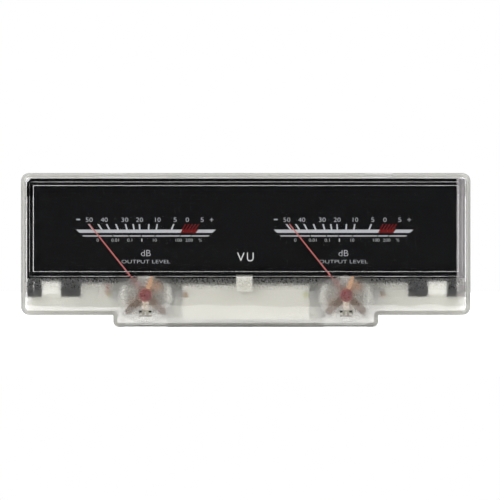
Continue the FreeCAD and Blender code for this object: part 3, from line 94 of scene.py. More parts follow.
# %% [markdown]
# ## A helper for shader nodes
#
# A material is a small network of nodes. Wiring it by hand takes three lines
# a node, so one helper adds a node, sets its options, and fills its sockets:
# a socket is linked where the value is itself a socket, and set otherwise.

# %% Node helper
def add_node(tree, kind, sockets=None, **options):
    """Add a shader node; sockets maps an input's name or number to a value or to an output."""
    made = tree.nodes.new("ShaderNode" + kind)
    for option, value in options.items():
        setattr(made, option, value)
    for key, value in (sockets or {}).items():
        if isinstance(value, bpy.types.NodeSocket):
            tree.links.new(value, made.inputs[key])
        else:
            made.inputs[key].default_value = value
    return made


def parts_of(vector):
    """Outputs X, Y and Z of a vector."""
    return add_node(vector.id_data, "SeparateXYZ", {0: vector}).outputs


def tree_of(values):
    """Node tree of the first socket among the values."""
    return next(value.id_data for value in values if isinstance(value, bpy.types.NodeSocket))


def calculate(operation, *values):
    """Output of a Math node for up to three values or sockets."""
    return add_node(tree_of(values), "Math", dict(enumerate(values)), operation=operation).outputs[0]


def rescale(value, low, high, to_low=0.0, to_high=1.0):
    """Output of a Map Range node that takes low..high to to_low..to_high."""
    return add_node(value.id_data, "MapRange", dict(enumerate((value, low, high, to_low, to_high)))).outputs[0]


def blend_colours(mask, below, above, how="MIX"):
    """Colour output that goes from below to above as the mask goes from 0 to 1."""
    sockets = {0: mask, 6: below, 7: above}
    return add_node(tree_of(sockets.values()), "Mix", sockets, data_type="RGBA", blend_type=how).outputs[2]


print("node helper ready")

# %% [markdown]
# ## The surroundings
#
# Small shiny parts show what stands round them. A soft tent would be the
# simple way, but a flat clear face mirrors whatever is in front of it, and the
# window would turn milky. So the world is pale all round but dark in a cone in
# front of the object, as if a black cloth hung there.
#
# The white background comes from the world too: rays from the camera, and rays
# through the clear cover, find white behind the object. Only rays that haven't
# met a dull surface see this difference. Light that has scattered finds the
# even level AMBIENT, so the cloth takes no light from the object, and a colour
# shows about as it is written.

# %% World
CONE_EDGE = (0.45, 0.85)
AMBIENT = 0.80
BESIDE = 0.35
DARK_FRONT = 0.015

world = bpy.data.worlds.new("studio")
world.use_nodes = True
tree = world.node_tree
tree.nodes.clear()
direction = add_node(tree, "TexCoord").outputs["Generated"]
behind = parts_of(direction)["Y"]
front = calculate("MULTIPLY", behind, -1.0)
surroundings = rescale(behind, *CONE_EDGE, BESIDE, 1.0)
surroundings = rescale(rescale(front, *CONE_EDGE), 0.0, 1.0, surroundings, DARK_FRONT)
path = add_node(tree, "LightPath").outputs
mirrored = calculate("MAXIMUM", path["Is Glossy Ray"], path["Is Transmission Ray"])
unscattered = calculate("LESS_THAN", path["Diffuse Depth"], 0.5)
mirrored = calculate("MULTIPLY", mirrored, unscattered)
lit = rescale(mirrored, 0.0, 1.0, AMBIENT, surroundings)
lit = rescale(path["Is Camera Ray"], 0.0, 1.0, lit, 1.0)
background = add_node(tree, "Background", {"Color": (1, 1, 1, 1), "Strength": lit})
add_node(tree, "OutputWorld", {"Surface": background.outputs[0]})
bpy.context.scene.world = world
print("world nodes:", len(tree.nodes))

# %% [markdown]
# ## The lamps
#
# Two large lamps light the front from above and from both sides, and a third,
# from behind, draws the edges. Small lamps would be simpler to place, but
# large ones give soft shadows. Mirror rays don't see them, because a bright
# square would stand on the flat window.

# %% Lamps
LAMP_SIDE = 0.5
LAMP_TARGET = (0, 0, 0.022)


def add_lamp(name, place, power):
    """Square area lamp at a place in metres, with a power in watts, aimed at the target."""
    lamp = bpy.data.objects.new(name, bpy.data.lights.new(name, "AREA"))
    lamp.data.shape = "SQUARE"
    lamp.data.size = LAMP_SIDE
    lamp.data.energy = power
    lamp.location = place
    lamp.visible_glossy = False
    lamp.rotation_euler = (Vector(LAMP_TARGET) - Vector(place)).to_track_quat("-Z", "Y").to_euler()
    bpy.context.collection.objects.link(lamp)
    return lamp


lamps = [
    add_lamp("key_lamp", (-0.64, -0.74, 0.24), 2.5),
    add_lamp("fill_lamp", (0.64, -0.70, 0.20), 1.8),
    add_lamp("back_lamp", (0.10, 0.90, 0.24), 1.4),
]
print("lamps in watts:", {lamp.name: lamp.data.energy for lamp in lamps})

# %% [markdown]
# ## The floor
#
# The floor is a pale sheet under the object. Lit by lamps alone it would turn
# grey and end in a line. So it has a little light of its own for the rays that
# show it, and runs into the white while the object's shadow stays. Rays
# through the cover get more of that light, because the cover's walls take some
# away.

# %% Floor
FLOOR_LIFT = 0.55
THROUGH_COVER = 1.4
FLOOR_GAP = 0.02 * MM

floor_mesh = bpy.data.meshes.new("floor")
floor_corners = np.array([(-0.5, -0.30, 0), (0.5, -0.30, 0), (0.5, 0.6, 0), (-0.5, 0.6, 0)])
floor_mesh.from_pydata((floor_corners - (0, 0, FLOOR_GAP)).tolist(), [], [(0, 1, 2, 3)])
floor = bpy.data.objects.new("floor", floor_mesh)
bpy.context.collection.objects.link(floor)

pale = bpy.data.materials.new("floor_paper")
pale.use_nodes = True
tree = pale.node_tree
tree.nodes.clear()
path = add_node(tree, "LightPath").outputs
shown = calculate("MAXIMUM", path["Is Camera Ray"], path["Is Glossy Ray"])
shown = calculate("MULTIPLY_ADD", path["Is Transmission Ray"], THROUGH_COVER, shown)
paper = add_node(tree, "BsdfDiffuse", {"Color": (0.86, 0.86, 0.85, 1)})
lift = add_node(tree, "Emission", {"Strength": calculate("MULTIPLY", shown, FLOOR_LIFT)})
both = add_node(tree, "AddShader", {0: paper.outputs[0], 1: lift.outputs[0]})
add_node(tree, "OutputMaterial", {"Surface": both.outputs[0]})
floor_mesh.materials.append(pale)
print("floor size in m:", np.ptp(floor_corners, axis=0)[:2].tolist())

# %% [markdown]
# ## Shared effects
#
# Some effects belong to many finishes: the fine grain that a moulding takes
# from its tool, rubbed edges, the rings that a lathe leaves, and scratches.
# Each is a node group with named inputs, built once. A group gives values and
# masks only, and the shader stays in the material.

# %% Groups: a helper
def new_group(name, inputs, outputs):
    """Empty shader group; inputs maps a name to its default, None for a vector, outputs lists names of values."""
    group = bpy.data.node_groups.new(name, "ShaderNodeTree")
    for label, default in inputs.items():
        kind = "NodeSocketVector" if default is None else "NodeSocketFloat"
        socket = group.interface.new_socket(label, in_out="INPUT", socket_type=kind)
        if default is not None:
            socket.default_value = default
    for label in outputs:
        group.interface.new_socket(label, in_out="OUTPUT", socket_type="NodeSocketFloat")
    return group, group.nodes.new("NodeGroupInput").outputs, group.nodes.new("NodeGroupOutput").inputs


def use_group(group, **sockets):
    """Outputs of a group placed in a material with its own values, _ standing for a space in their names."""
    values = {name.replace("_", " "): value for name, value in sockets.items()}
    return add_node(tree_of(values.values()), "Group", values, node_tree=group).outputs


def tone_of(noise, contrast):
    """Tone near 1 that follows a noise of mean 0.5: twice the contrast for each step of the noise."""
    off_mean = calculate("SUBTRACT", noise, 0.5)
    return calculate("MULTIPLY_ADD", off_mean, calculate("MULTIPLY", contrast, 2.0), 1.0)


print("group helper ready")

# %% [markdown]
# **Grain.** A picture of plastic would repeat and need unwrapping. Two noises
# do better: a slow one, for the way plastic or paint flows and settles, and a
# fine one, for the texture of the tool. The group gives a tone near 1 to
# multiply a colour by, and a height for a Bump node.

# %% Group: grain
GRAIN, given, gives = new_group(
    "grain", {"Vector": None, "Flow size": 4.0, "Grain size": 0.12, "Contrast": 0.06}, ["Tone", "Height"])
flow_scale = calculate("DIVIDE", 1 / MM, given["Flow size"])
grain_scale = calculate("DIVIDE", 1 / MM, given["Grain size"])
flow = add_node(GRAIN, "TexNoise", {"Vector": given["Vector"], "Scale": flow_scale, "Detail": 2.0})
fine = add_node(GRAIN, "TexNoise", {"Vector": given["Vector"], "Scale": grain_scale, "Detail": 3.0})
mixed = calculate("MULTIPLY_ADD", fine.outputs[0], 0.5, calculate("MULTIPLY", flow.outputs[0], 0.5))
GRAIN.links.new(tone_of(mixed, given["Contrast"]), gives["Tone"])
GRAIN.links.new(fine.outputs[0], gives["Height"])
print("grain nodes:", len(GRAIN.nodes))

# %% [markdown]
# **Edge rub.** Handling polishes edges. The Pointiness value finds edges only
# on a fine even mesh, which a solid doesn't have. The Bevel node gives the
# normal that a rounded edge would have: where it differs from the true normal
# there is an edge. A noise breaks the mask up, so that it isn't a drawn line.

# %% Group: edge rub
EDGE_RUB, given, gives = new_group("edge_rub", {"Vector": None, "Radius": 0.0001, "Strength": 1.0}, ["Mask"])
rounded = add_node(EDGE_RUB, "Bevel", {"Radius": given["Radius"]}, samples=3)
true_normal = add_node(EDGE_RUB, "NewGeometry").outputs["Normal"]
alike = add_node(EDGE_RUB, "VectorMath", {0: rounded.outputs[0], 1: true_normal}, operation="DOT_PRODUCT")
edge = rescale(alike.outputs["Value"], 0.995, 0.80)
patches = add_node(EDGE_RUB, "TexNoise", {"Vector": given["Vector"], "Scale": 900.0, "Detail": 3.0})
broken = rescale(patches.outputs[0], 0.35, 0.62, 0.15, 1.0)
mask = calculate("MULTIPLY", calculate("MULTIPLY", edge, broken), given["Strength"])
EDGE_RUB.links.new(mask, gives["Mask"])
print("edge rub nodes:", len(EDGE_RUB.nodes))

# %% [markdown]
# **Turning rings.** A lathe or a press leaves rings round the axis of a part.
# A ring texture repeats too evenly, so the distance from the axis drives a
# noise with one dimension. The axis runs front to back through a movement's
# pivots. The two movements stand alike left and right of x = 0, so the
# absolute value of x serves both.

# %% Group: turning rings
PIVOT_X = 30 * MM
PIVOT_Z = 9.45 * MM


def root_of_squares(across, up):
    """Square root of across squared plus up squared."""
    squares = calculate("MULTIPLY_ADD", across, across, calculate("MULTIPLY", up, up))
    return calculate("SQRT", squares)


def from_pivot(where):
    """Distance from the nearer movement's axis, over |x| less PIVOT_X and z less PIVOT_Z."""
    parts = parts_of(where)
    across = calculate("SUBTRACT", calculate("ABSOLUTE", parts["X"]), PIVOT_X)
    return root_of_squares(across, calculate("SUBTRACT", parts["Z"], PIVOT_Z))


RINGS, given, gives = new_group(
    "turning_rings", {"Vector": None, "Ring size": 0.08, "Contrast": 0.10}, ["Tone", "Height"])
radius = from_pivot(given["Vector"])
ring_scale = calculate("DIVIDE", 1 / MM, given["Ring size"])
ring_noise = add_node(RINGS, "TexNoise", {"W": radius, "Scale": ring_scale, "Detail": 2.0}, noise_dimensions="1D")
RINGS.links.new(tone_of(ring_noise.outputs[0], given["Contrast"]), gives["Tone"])
RINGS.links.new(ring_noise.outputs[0], gives["Height"])
print("ring nodes:", len(RINGS.nodes))

# %% [markdown]
# **Scratches.** A noise stretched fiftyfold makes streaks. Kept only near its
# middle value, it turns into thin lines. Two sets, turned against each other,
# look like the marks of a cloth.

# %% Group: scratches
STREAKS = ((0.5, 60.0), (-0.9, 45.0))

SCRATCHES, given, gives = new_group("scratches", {"Vector": None, "Spacing": 2.5, "Width": 0.012}, ["Mask"])
scale = calculate("DIVIDE", 1 / MM, given["Spacing"])
lines = []
for turn, stretch in STREAKS:
    laid = {"Vector": given["Vector"], "Rotation": (0, turn, 0), "Scale": (1, 1, stretch)}
    turned = add_node(SCRATCHES, "Mapping", laid).outputs[0]
    streaks = add_node(SCRATCHES, "TexNoise", {"Vector": turned, "Scale": scale, "Detail": 1.0}).outputs[0]
    off_middle = calculate("ABSOLUTE", calculate("SUBTRACT", streaks, 0.5))
    lines.append(calculate("LESS_THAN", off_middle, given["Width"]))
SCRATCHES.links.new(calculate("MAXIMUM", *lines), gives["Mask"])
print("scratch nodes:", len(SCRATCHES.nodes))

# %% [markdown]
# ## Finishes
#
# Every finish starts from the same frame: an empty material with a Principled
# shader. Numbers that are the same all over the surface are typed into the
# shader's own sockets. Only what changes over the surface is linked, most
# often to the grain.

# %% Finish helper
FINISHES = {}


def show_finishes():
    """Print what has been made so far."""
    print("finishes:", *FINISHES)


def new_finish(name, **constants):
    """Material with constants typed into its Principled shader's sockets, _ standing for a space. Returns the
    shader and the Object coordinates."""
    material = bpy.data.materials.new(name)
    material.use_nodes = True
    tree = material.node_tree
    tree.nodes.clear()
    shader = add_node(tree, "BsdfPrincipled")
    for key, value in constants.items():
        shader.inputs[key.replace("_", " ")].default_value = value
    add_node(tree, "OutputMaterial", {"Surface": shader.outputs[0]})
    FINISHES[name] = material
    return shader, add_node(tree, "TexCoord").outputs["Object"]


def link(value, shader, socket):
    """Link a value to a shader's socket."""
    shader.id_data.links.new(value, shader.inputs[socket])


def add_bump(shader, height, depth, **sockets):
    """Bump from a height of 0..1, depth in mm, with any other sockets of the Bump node by name."""
    sockets.update(Height=height, Distance=depth * MM, Strength=1.0)
    link(add_node(shader.id_data, "Bump", sockets).outputs[0], shader, "Normal")


print("finish helper ready")

# %% Grain helper
def grain_of(where, flow, size, contrast):
    """Outputs of the grain group, its flow and grain sizes in mm."""
    return use_group(GRAIN, Vector=where, Flow_size=flow, Grain_size=size, Contrast=contrast)


def grainy(grain, low, high):
    """Value that follows the grain's height from low to high."""
    return rescale(grain["Height"], 0.3, 0.7, low, high)


def tinted(colour, tone):
    """The colour, lighter or darker by a tone near 1."""
    shade = add_node(tone.id_data, "CombineXYZ", {0: tone, 1: tone, 2: tone}).outputs[0]
    return blend_colours(1.0, colour, shade, how="MULTIPLY")


def usual_face(shader, colour, grain, dull, depth):
    """Colour by the grain's tone, roughness between the two values of dull, bump depth in mm."""
    link(tinted(colour, grain["Tone"]), shader, "Base Color")
    link(grainy(grain, *dull), shader, "Roughness")
    add_bump(shader, grain["Height"], depth)


print("grain helper ready")

# %% [markdown]
# **Clear plastic.** The cover is moulded from clear styrene. Mere transparency
# would lose its gleaming edges, so it is real glass to the renderer, and bends
# what lies behind it. Light seldom finds its way through such walls by chance,
# so a Transparent shader lets the rays from lamps pass. Fine scratches and a
# slow ripple keep it from looking like cut crystal.

# %% Finish: clear plastic
def let_lamps_through(shader, colour):
    """Replace the output by a mix that is transparent to rays from lamps."""
    tree = shader.id_data
    path = add_node(tree, "LightPath").outputs
    through = add_node(tree, "BsdfTransparent", {"Color": colour})
    mix = add_node(tree, "MixShader", {0: path["Is Shadow Ray"], 1: shader.outputs[0], 2: through.outputs[0]})
    ending = next(n for n in tree.nodes if n.type == "OUTPUT_MATERIAL")
    tree.links.new(mix.outputs[0], ending.inputs["Surface"])


shader, where = new_finish(
    "clear_plastic", Base_Color=(0.974, 0.974, 0.980, 1), IOR=1.49, Transmission_Weight=1.0)
marks = use_group(SCRATCHES, Vector=where, Spacing=9.0, Width=0.004)
link(rescale(marks["Mask"], 0.0, 1.0, 0.012, 0.10), shader, "Roughness")
ripple = add_node(where.id_data, "TexNoise", {"Vector": where, "Scale": 110.0, "Detail": 0.0})
add_bump(shader, ripple.outputs[0], 0.015)
let_lamps_through(shader, (0.958, 0.958, 0.958, 1))
show_finishes()

# %% [markdown]
# **Frosting.** The tool for the cover is spark-eroded below the window, which
# leaves a fine roughness. It sends light a little off its way and so blurs
# what is behind, the more the farther back that lies. A bump alone would only
# wrinkle it. The roughness swings with the grain, most along the dial's lower
# edge and over each movement, which shows as speckle where dark meets light.
# Over each movement it is also higher, to hide the works.

# %% Finish: frosting
FROST_GRAIN = 0.65
SPECKLE_EDGE = (11.0 * MM, 12.5 * MM)
SPECKLE_RING = (8.5 * MM, 6.0 * MM)
HIDING_RING = (6.0 * MM, 9.5 * MM)
SWING = 0.065

shader, where = new_finish("frosting", IOR=1.45, Transmission_Weight=1.0)
grain = grain_of(where, 6.0, FROST_GRAIN, 0.03)
link(tinted((0.97, 0.968, 0.935, 1), grain["Tone"]), shader, "Base Color")
away = from_pivot(where)
near_edge = rescale(parts_of(where)["Z"], *SPECKLE_EDGE, 0.10, 1.0)
uneven = calculate("MAXIMUM", near_edge, rescale(away, *SPECKLE_RING, 0.10, 2.1))
hidden = rescale(away, *HIDING_RING, 0.37, 0.285)
link(calculate("MULTIPLY_ADD", grainy(grain, -SWING, SWING), uneven, hidden), shader, "Roughness")
add_bump(shader, calculate("MULTIPLY", grain["Height"], uneven), 0.42)
let_lamps_through(shader, (0.96, 0.96, 0.95, 1))
show_finishes()

# %% [markdown]
# ** Milky and guiding plastic.** The rear shell and the light guide are the
# same resin. The shell's colour is set lighter and the guide's darker, which is painted light and painted shade: the
# guide stands nearer the front and takes more light than the shell deep in its well. A plain white would look painted.
# Here light sinks in and comes out near by, which subsurface scattering gives.
# The shell is duller, from a textured tool, and the guide is polished.

# %% Finish: milky plastics
def make_milky(name, colour, depth, dull, bump):
    """White translucent resin; depth is how far light travels in mm, dull the middle roughness."""
    shader, where = new_finish(
        name, IOR=1.49, Subsurface_Weight=0.8, Subsurface_Scale=depth * MM, Subsurface_Radius=(1.0, 1.0, 0.95))
    grain = grain_of(where, 7.0, 0.16, 0.035)
    rub = use_group(EDGE_RUB, Vector=where, Radius=0.12 * MM, Strength=0.6)
    body = tinted(colour, grain["Tone"])
    link(blend_colours(rub["Mask"], body, (0.93, 0.93, 0.91, 1)), shader, "Base Color")
    uneven = grainy(grain, dull - 0.06, dull + 0.06)
    link(calculate("MULTIPLY_ADD", rub["Mask"], -0.12, uneven), shader, "Roughness")
    add_bump(shader, grain["Height"], bump)


# The shell is painted lighter against the shade of its well, and the guide painted darker because it takes more light.
make_milky("milky_plastic", (0.90, 0.893, 0.845, 1), 3.0, 0.42, 0.006)
make_milky("guide_plastic", (0.72, 0.71, 0.665, 1), 2.5, 0.25, 0.002)
show_finishes()

# %% [markdown]
# **Paints, inks and rubber.** The dial is a thin plate sprayed satin black,
# with scales screen-printed in white and red. Lacquer seals screws. All are
# one opaque layer, so one recipe serves: spray leaves an orange peel, ink a
# fine speckle where the mesh of the screen lifted off, and lacquer a coat.

# %% Finish: paints, inks and rubber
def make_paint(name, colour, dull, contrast, peel, **constants):
    """Opaque layer; dull is the middle roughness, peel the depth of its texture in mm."""
    shader, where = new_finish(name, **constants)
    grain = grain_of(where, 3.0, 0.14, contrast)
    usual_face(shader, colour, grain, (dull - 0.07, dull + 0.07), peel)


make_paint("dial_paint", (0.0030, 0.0032, 0.0037, 1), 0.50, 0.25, 0.004, Specular_IOR_Level=0.08)
make_paint("white_ink", (0.80, 0.80, 0.79, 1), 0.60, 0.10, 0.003)
make_paint("scale_ink", (0.44, 0.45, 0.47, 1), 0.60, 0.10, 0.003, Specular_IOR_Level=0.2)
make_paint("red_ink", (0.13, 0.003, 0.003, 1), 0.55, 0.15, 0.003, Specular_IOR_Level=0.15)
make_paint("brown_lacquer", (0.30, 0.19, 0.10, 1), 0.30, 0.20, 0.006, Coat_Weight=0.4)
make_paint("green_lacquer", (0.50, 0.52, 0.28, 1), 0.30, 0.20, 0.006, Coat_Weight=0.4)
make_paint("rubber", (0.020, 0.020, 0.022, 1), 0.80, 0.30, 0.006)
make_paint("red_paint", (0.50, 0.13, 0.12, 1), 0.32, 0.08, 0.002, Coat_Weight=0.4, Coat_Roughness=0.15)
make_paint("red_lacquer", (0.24, 0.004, 0.010, 1), 0.35, 0.20, 0.010, Coat_Weight=0.3, Coat_Roughness=0.12)
show_finishes()

# %% [markdown]
# **Metals.** All metals share one recipe: a base colour, rings from the lathe
# or the press, and brighter, smoother edges. Colour, ring size and dullness
# make it steel, tin, iron, brass or bronze. A blasted or browned metal
# scatters light as paint does, so it is only partly Metallic.

# %% Finish: metals
def make_metal(name, colour, bright, dull, ring, contrast, depth, bare=1.0):
    """Metal: bright is the colour of rubbed edges, dull the middle roughness, ring and depth the spacing and
    depth of tool marks in mm, and bare the value of Metallic."""
    shader, where = new_finish(name, Metallic=bare)
    rings = use_group(RINGS, Vector=where, Ring_size=ring, Contrast=contrast)
    grain = grain_of(where, 1.5, 0.06, contrast)
    rub = use_group(EDGE_RUB, Vector=where, Radius=0.06 * MM, Strength=0.9)
    both = calculate("MULTIPLY", rings["Tone"], grain["Tone"])
    link(blend_colours(rub["Mask"], tinted(colour, both), bright), shader, "Base Color")
    uneven = grainy(grain, dull - 0.06, dull + 0.08)
    link(calculate("MULTIPLY_ADD", rub["Mask"], -0.10, uneven), shader, "Roughness")
    soft = add_node(where.id_data, "Bevel", {"Radius": 0.04 * MM}, samples=3).outputs[0]
    add_bump(shader, rings["Height"], depth, Normal=soft)


make_metal("steel", (0.50, 0.50, 0.51, 1), (0.72, 0.72, 0.72, 1), 0.30, 0.09, 0.10, 0.0015)
make_metal("tinned_pin", (0.70, 0.69, 0.67, 1), (0.82, 0.81, 0.79, 1), 0.26, 0.20, 0.10, 0.0010)
make_metal("nickel_iron", (0.78, 0.77, 0.74, 1), (0.84, 0.83, 0.80, 1), 0.58, 0.12, 0.12, 0.0020, bare=0.1)
make_metal("magnet", (0.76, 0.74, 0.71, 1), (0.82, 0.80, 0.77, 1), 0.55, 0.05, 0.15, 0.0030, bare=0.4)
make_metal("cast_alloy", (0.78, 0.77, 0.74, 1), (0.86, 0.85, 0.83, 1), 0.45, 0.30, 0.12, 0.0030, bare=0.5)
make_metal("brass", (0.62, 0.52, 0.36, 1), (0.80, 0.70, 0.50, 1), 0.30, 0.10, 0.10, 0.0015)
make_metal("bronze", (0.17, 0.10, 0.06, 1), (0.40, 0.27, 0.18, 1), 0.42, 0.10, 0.25, 0.0010, bare=0.3)
make_metal("solder", (0.60, 0.60, 0.61, 1), (0.74, 0.74, 0.74, 1), 0.24, 0.50, 0.10, 0.0015)
show_finishes()

# %% [markdown]
# ** Copper wire.** The coil is wound from enamelled wire, 0.12 mm thick. As
# geometry its turns would take many thousand faces that hardly show. They lie
# side by side along the line of the needle, so the bump is a wave in that
# direction, and the enamel is a thin clear coat. The colour is painted darker in the grooves between the turns, which
# is painted shade.

# %% Finish: copper wire
REST_ANGLE = math.radians(38.5)
WIRE = 0.12 * MM

shader, where = new_finish("copper", Metallic=0.10, Coat_Weight=0.4, Coat_Roughness=0.15)
axis = (-math.sin(REST_ANGLE), 0, math.cos(REST_ANGLE))
along = add_node(where.id_data, "VectorMath", {0: where, 1: axis}, operation="DOT_PRODUCT").outputs["Value"]
turns = calculate("SINE", calculate("MULTIPLY", along, 2 * math.pi / WIRE))
round_wire = rescale(turns, -1.0, 1.0)
grain = grain_of(where, 1.2, 0.10, 0.12)
# The colour is darker in the grooves between the turns: painted shade.
shade = calculate("MULTIPLY", rescale(round_wire, 0.0, 1.0, 0.80, 1.0), grain["Tone"])
link(tinted((0.98, 0.48, 0.22, 1), shade), shader, "Base Color")
link(grainy(grain, 0.32, 0.46), shader, "Roughness")
add_bump(shader, round_wire, 0.03)
show_finishes()

# %% [markdown]
# **The zero lever.** Its lower arm is bare, and dull at the tip, where the
# tool rubs. Its upper arm holds the end of the hairspring, and is copper
# plated so that the spring can be soldered to it. Its eye is sealed to the
# jewel screw with red lacquer. The lever is one solid, so masks by height and
# by distance from the pivot divide its colours.

# %% Finish: zero lever
PLATED = (PIVOT_Z + 1.0 * MM, PIVOT_Z + 1.8 * MM)
CLEAN = (PIVOT_Z - 4.4 * MM, PIVOT_Z - 4.0 * MM)
SEALED = (1.9 * MM, 2.1 * MM)

shader, where = new_finish("lever", Coat_Weight=0.2)
height = parts_of(where)["Z"]
clean = rescale(height, *CLEAN)
plated = rescale(height, *PLATED)
eye = rescale(from_pivot(where), *SEALED, 1.0, 0.0)
colour = blend_colours(clean, (0.38, 0.36, 0.30, 1), (0.74, 0.62, 0.52, 1))
colour = blend_colours(plated, colour, (0.78, 0.42, 0.23, 1))
colour = blend_colours(eye, colour, (0.34, 0.05, 0.05, 1))
usual_face(shader, colour, grain_of(where, 1.5, 0.08, 0.15), (0.40, 0.55), 0.002)
show_finishes()

# %% [markdown]
# **The lamp's parts.** The board is white-masked glass laminate, with a weave
# that shows as a faint grid. Each LED has a white frame round a yellow pool of
# phosphor, each resistor a black body between tinned caps. Pieces for these
# would be thinner than a hair, so masks follow the parts' places instead.

# %% Finish: lamp board
THREAD = 2.79 * MM

shader, where = new_finish("board", IOR=1.5, Coat_Weight=0.3, Coat_Roughness=0.2)
wave = {"Vector": where, "Scale": 1 / THREAD, "Distortion": 0.6}
weave = calculate("MAXIMUM", *[
    add_node(where.id_data, "TexWave", wave, bands_direction=way).outputs["Fac"] for way in ("X", "Z")])
grain = grain_of(where, 3.0, 0.10, 0.05)
shade = calculate("MULTIPLY", rescale(weave, 0.0, 1.0, 0.94, 1.0), grain["Tone"])
link(tinted((0.74, 0.76, 0.72, 1), shade), shader, "Base Color")
link(rescale(weave, 0.0, 1.0, 0.45, 0.34), shader, "Roughness")
add_bump(shader, weave, 0.004)
show_finishes()

# %% Finish: LEDs
LED_PITCH = 6.0 * MM
LED_Z = 9.85 * MM
POOL_EDGE = (0.62 * MM, 0.56 * MM)

shader, where = new_finish(
    "lamp", IOR=1.5, Subsurface_Weight=0.3, Subsurface_Scale=0.5 * MM, Coat_Weight=0.5)
parts = parts_of(where)
shifted = calculate("ADD", parts["X"], 2 * LED_PITCH)
nearest = calculate("SUBTRACT", calculate("MODULO", shifted, LED_PITCH), LED_PITCH / 2)
from_led = root_of_squares(nearest, calculate("SUBTRACT", parts["Z"], LED_Z))
pool = rescale(from_led, *POOL_EDGE)
grain = grain_of(where, 1.0, 0.05, 0.08)
colour = blend_colours(pool, (0.86, 0.86, 0.83, 1), (0.86, 0.72, 0.22, 1))
link(tinted(colour, grain["Tone"]), shader, "Base Color")
link(rescale(pool, 0.0, 1.0, 0.42, 0.16), shader, "Roughness")
add_bump(shader, grain["Height"], 0.002)
show_finishes()

# %% Finish: resistors
RESISTOR_X = 7.2 * MM
CAP_EDGE = (1.10 * MM, 1.14 * MM)

shader, where = new_finish("ceramic", IOR=1.6)
from_middle = calculate("SUBTRACT", calculate("ABSOLUTE", parts_of(where)["X"]), RESISTOR_X)
cap = rescale(calculate("ABSOLUTE", from_middle), *CAP_EDGE)
colour = blend_colours(cap, (0.018, 0.018, 0.020, 1), (0.62, 0.61, 0.59, 1))
link(cap, shader, "Metallic")
usual_face(shader, colour, grain_of(where, 0.8, 0.05, 0.15), (0.30, 0.45), 0.003)
show_finishes()

# %% [markdown]
# **Lead wires.** Each coil is fed by two thin wires in soft insulation, one
# red and one blue. They are one node, so two materials would need the mesh cut
# up. The colour changes where x passes the pivot instead.

# %% Finish: insulation
shader, where = new_finish("insulation", IOR=1.5, Coat_Weight=0.2)
outer = calculate("GREATER_THAN", calculate("ABSOLUTE", parts_of(where)["X"]), PIVOT_X)
colour = blend_colours(outer, (0.05, 0.10, 0.38, 1), (0.46, 0.03, 0.03, 1))
usual_face(shader, colour, grain_of(where, 1.2, 0.08, 0.12), (0.40, 0.55), 0.004)
show_finishes()

# %% [markdown]
# ## Dress the solids
#
# Each solid of the frame comes with one material slot, named for its stuff,
# and the finish of the same name goes into it. Three kinds differ: the zero
# levers have their own finish, the bridge screws are browned like the bridges,
# and the mount screws are bright steel. The mesh is left as it is.

# %% Dress the solids
SIDES = {"left": -1, "right": 1}
SPECIAL = {f"{side}_{kind}": finish for side in SIDES
           for kind, finish in (("zero_lever", "lever"), ("bridge_screws", "bronze"), ("mount_screws", "steel"))}
dressed = {}
for name, solid in NODES.items():
    for slot in solid.material_slots:
        stuff = SPECIAL.get(name, slot.material.name.split(".")[0])
        slot.material = FINISHES[stuff]
        dressed.setdefault(stuff, []).append(name)
print("solids per finish:", {stuff: len(names) for stuff, names in sorted(dressed.items())})

# %% [markdown]
# ## Surfaces from grids
#
# New pieces are surfaces on a grid of two parameters. Placing vertices one by
# one would be slow and hard to change. A formula turns the parameters into
# points, for the whole grid at once, and a helper joins neighbours to quads.

# %% Surface helper
def grid_of(x, y, z):
    """Grid of points in metres from x, y and z in mm, each an array or a number."""
    return np.stack(np.broadcast_arrays(x, y, z), axis=-1) * MM


def quads_of(rows, columns, ring=False):
    """Faces between neighbours of a rows by columns grid, four indices each; ring joins last column to first."""
    index = np.arange(rows * columns).reshape(rows, columns)
    index = np.hstack([index, index[:, :1]]) if ring else index
    corners = (index[:-1, :-1], index[1:, :-1], index[1:, 1:], index[:-1, 1:])
    return np.stack(corners, axis=-1).reshape(-1, 4)


def new_piece(name, points, faces, finish, body="case", depth=0.0, smooth=False):
    """Object with its place in its mesh, riding on a body, with its finish in a material slot. A depth in mm gives a
    flat piece a closed thickness behind its face."""
    mesh = bpy.data.meshes.new(name)
    mesh.from_pydata(np.asarray(points).reshape(-1, 3).tolist(), [], [list(face) for face in faces])
    mesh.polygons.foreach_set("use_smooth", np.full(len(mesh.polygons), smooth))
    mesh.materials.append(FINISHES[finish])
    piece = bpy.data.objects.new(name, mesh)
    bpy.context.collection.objects.link(piece)
    if depth:
        wall = piece.modifiers.new("thickness", "SOLIDIFY")
        wall.thickness = depth * MM
        wall.offset = -1.0
    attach(piece, body)


print("quads of a 3 by 4 grid:", len(quads_of(3, 4)))

# %% [markdown]
# ## The printed scales
#
# Each meter has a broad white bar with ticks on it, a thin bar with gaps below
# it, and a red block at the loud end. An image of the print would blur close
# up, so the ink is real: thin strips with sharp ends. Every tick and end of a
# bar points at the pivot, because the needle does. A strip is a patch between
# two heights above the pivot and two angles, and a point at height h and angle
# a lies at x = h tan a. Ticks keep an even width, so their half width is added
# to x. The screen was laid on by hand, so each print's middle is a little left
# of its pivot.

# %% Scale positions
DIAL_FRONT, INK = -5.0, 0.02
BAR_LOW, BAR_HIGH = 18.66, 19.62
TICK_HIGH = 21.27
THIN_LOW, THIN_HIGH = 17.54, 17.89
SCALE_START, SCALE_END = -46.4, 47.6
RED_START, RED_END = 30.1, 39.6
TICKS = (-38.3, -33.3, -28.3, -22.1, -15.1, -9.2, -4.2, 3.5, 10.2, 22.5)
RED_TICKS = (30.2, 32.2, 34.1, 35.9, 37.6)
GAPS = (-28.4, -14.85, -3.2, 10.15, 31.2, 38.4)
TICK_WIDTH, RED_TICK_WIDTH = 0.44, 0.352
GAP_WIDTH = 0.30
PRINT_MIDDLE = {"left": -30.35, "right": 28.90}
PRINT_SCALE = 0.995


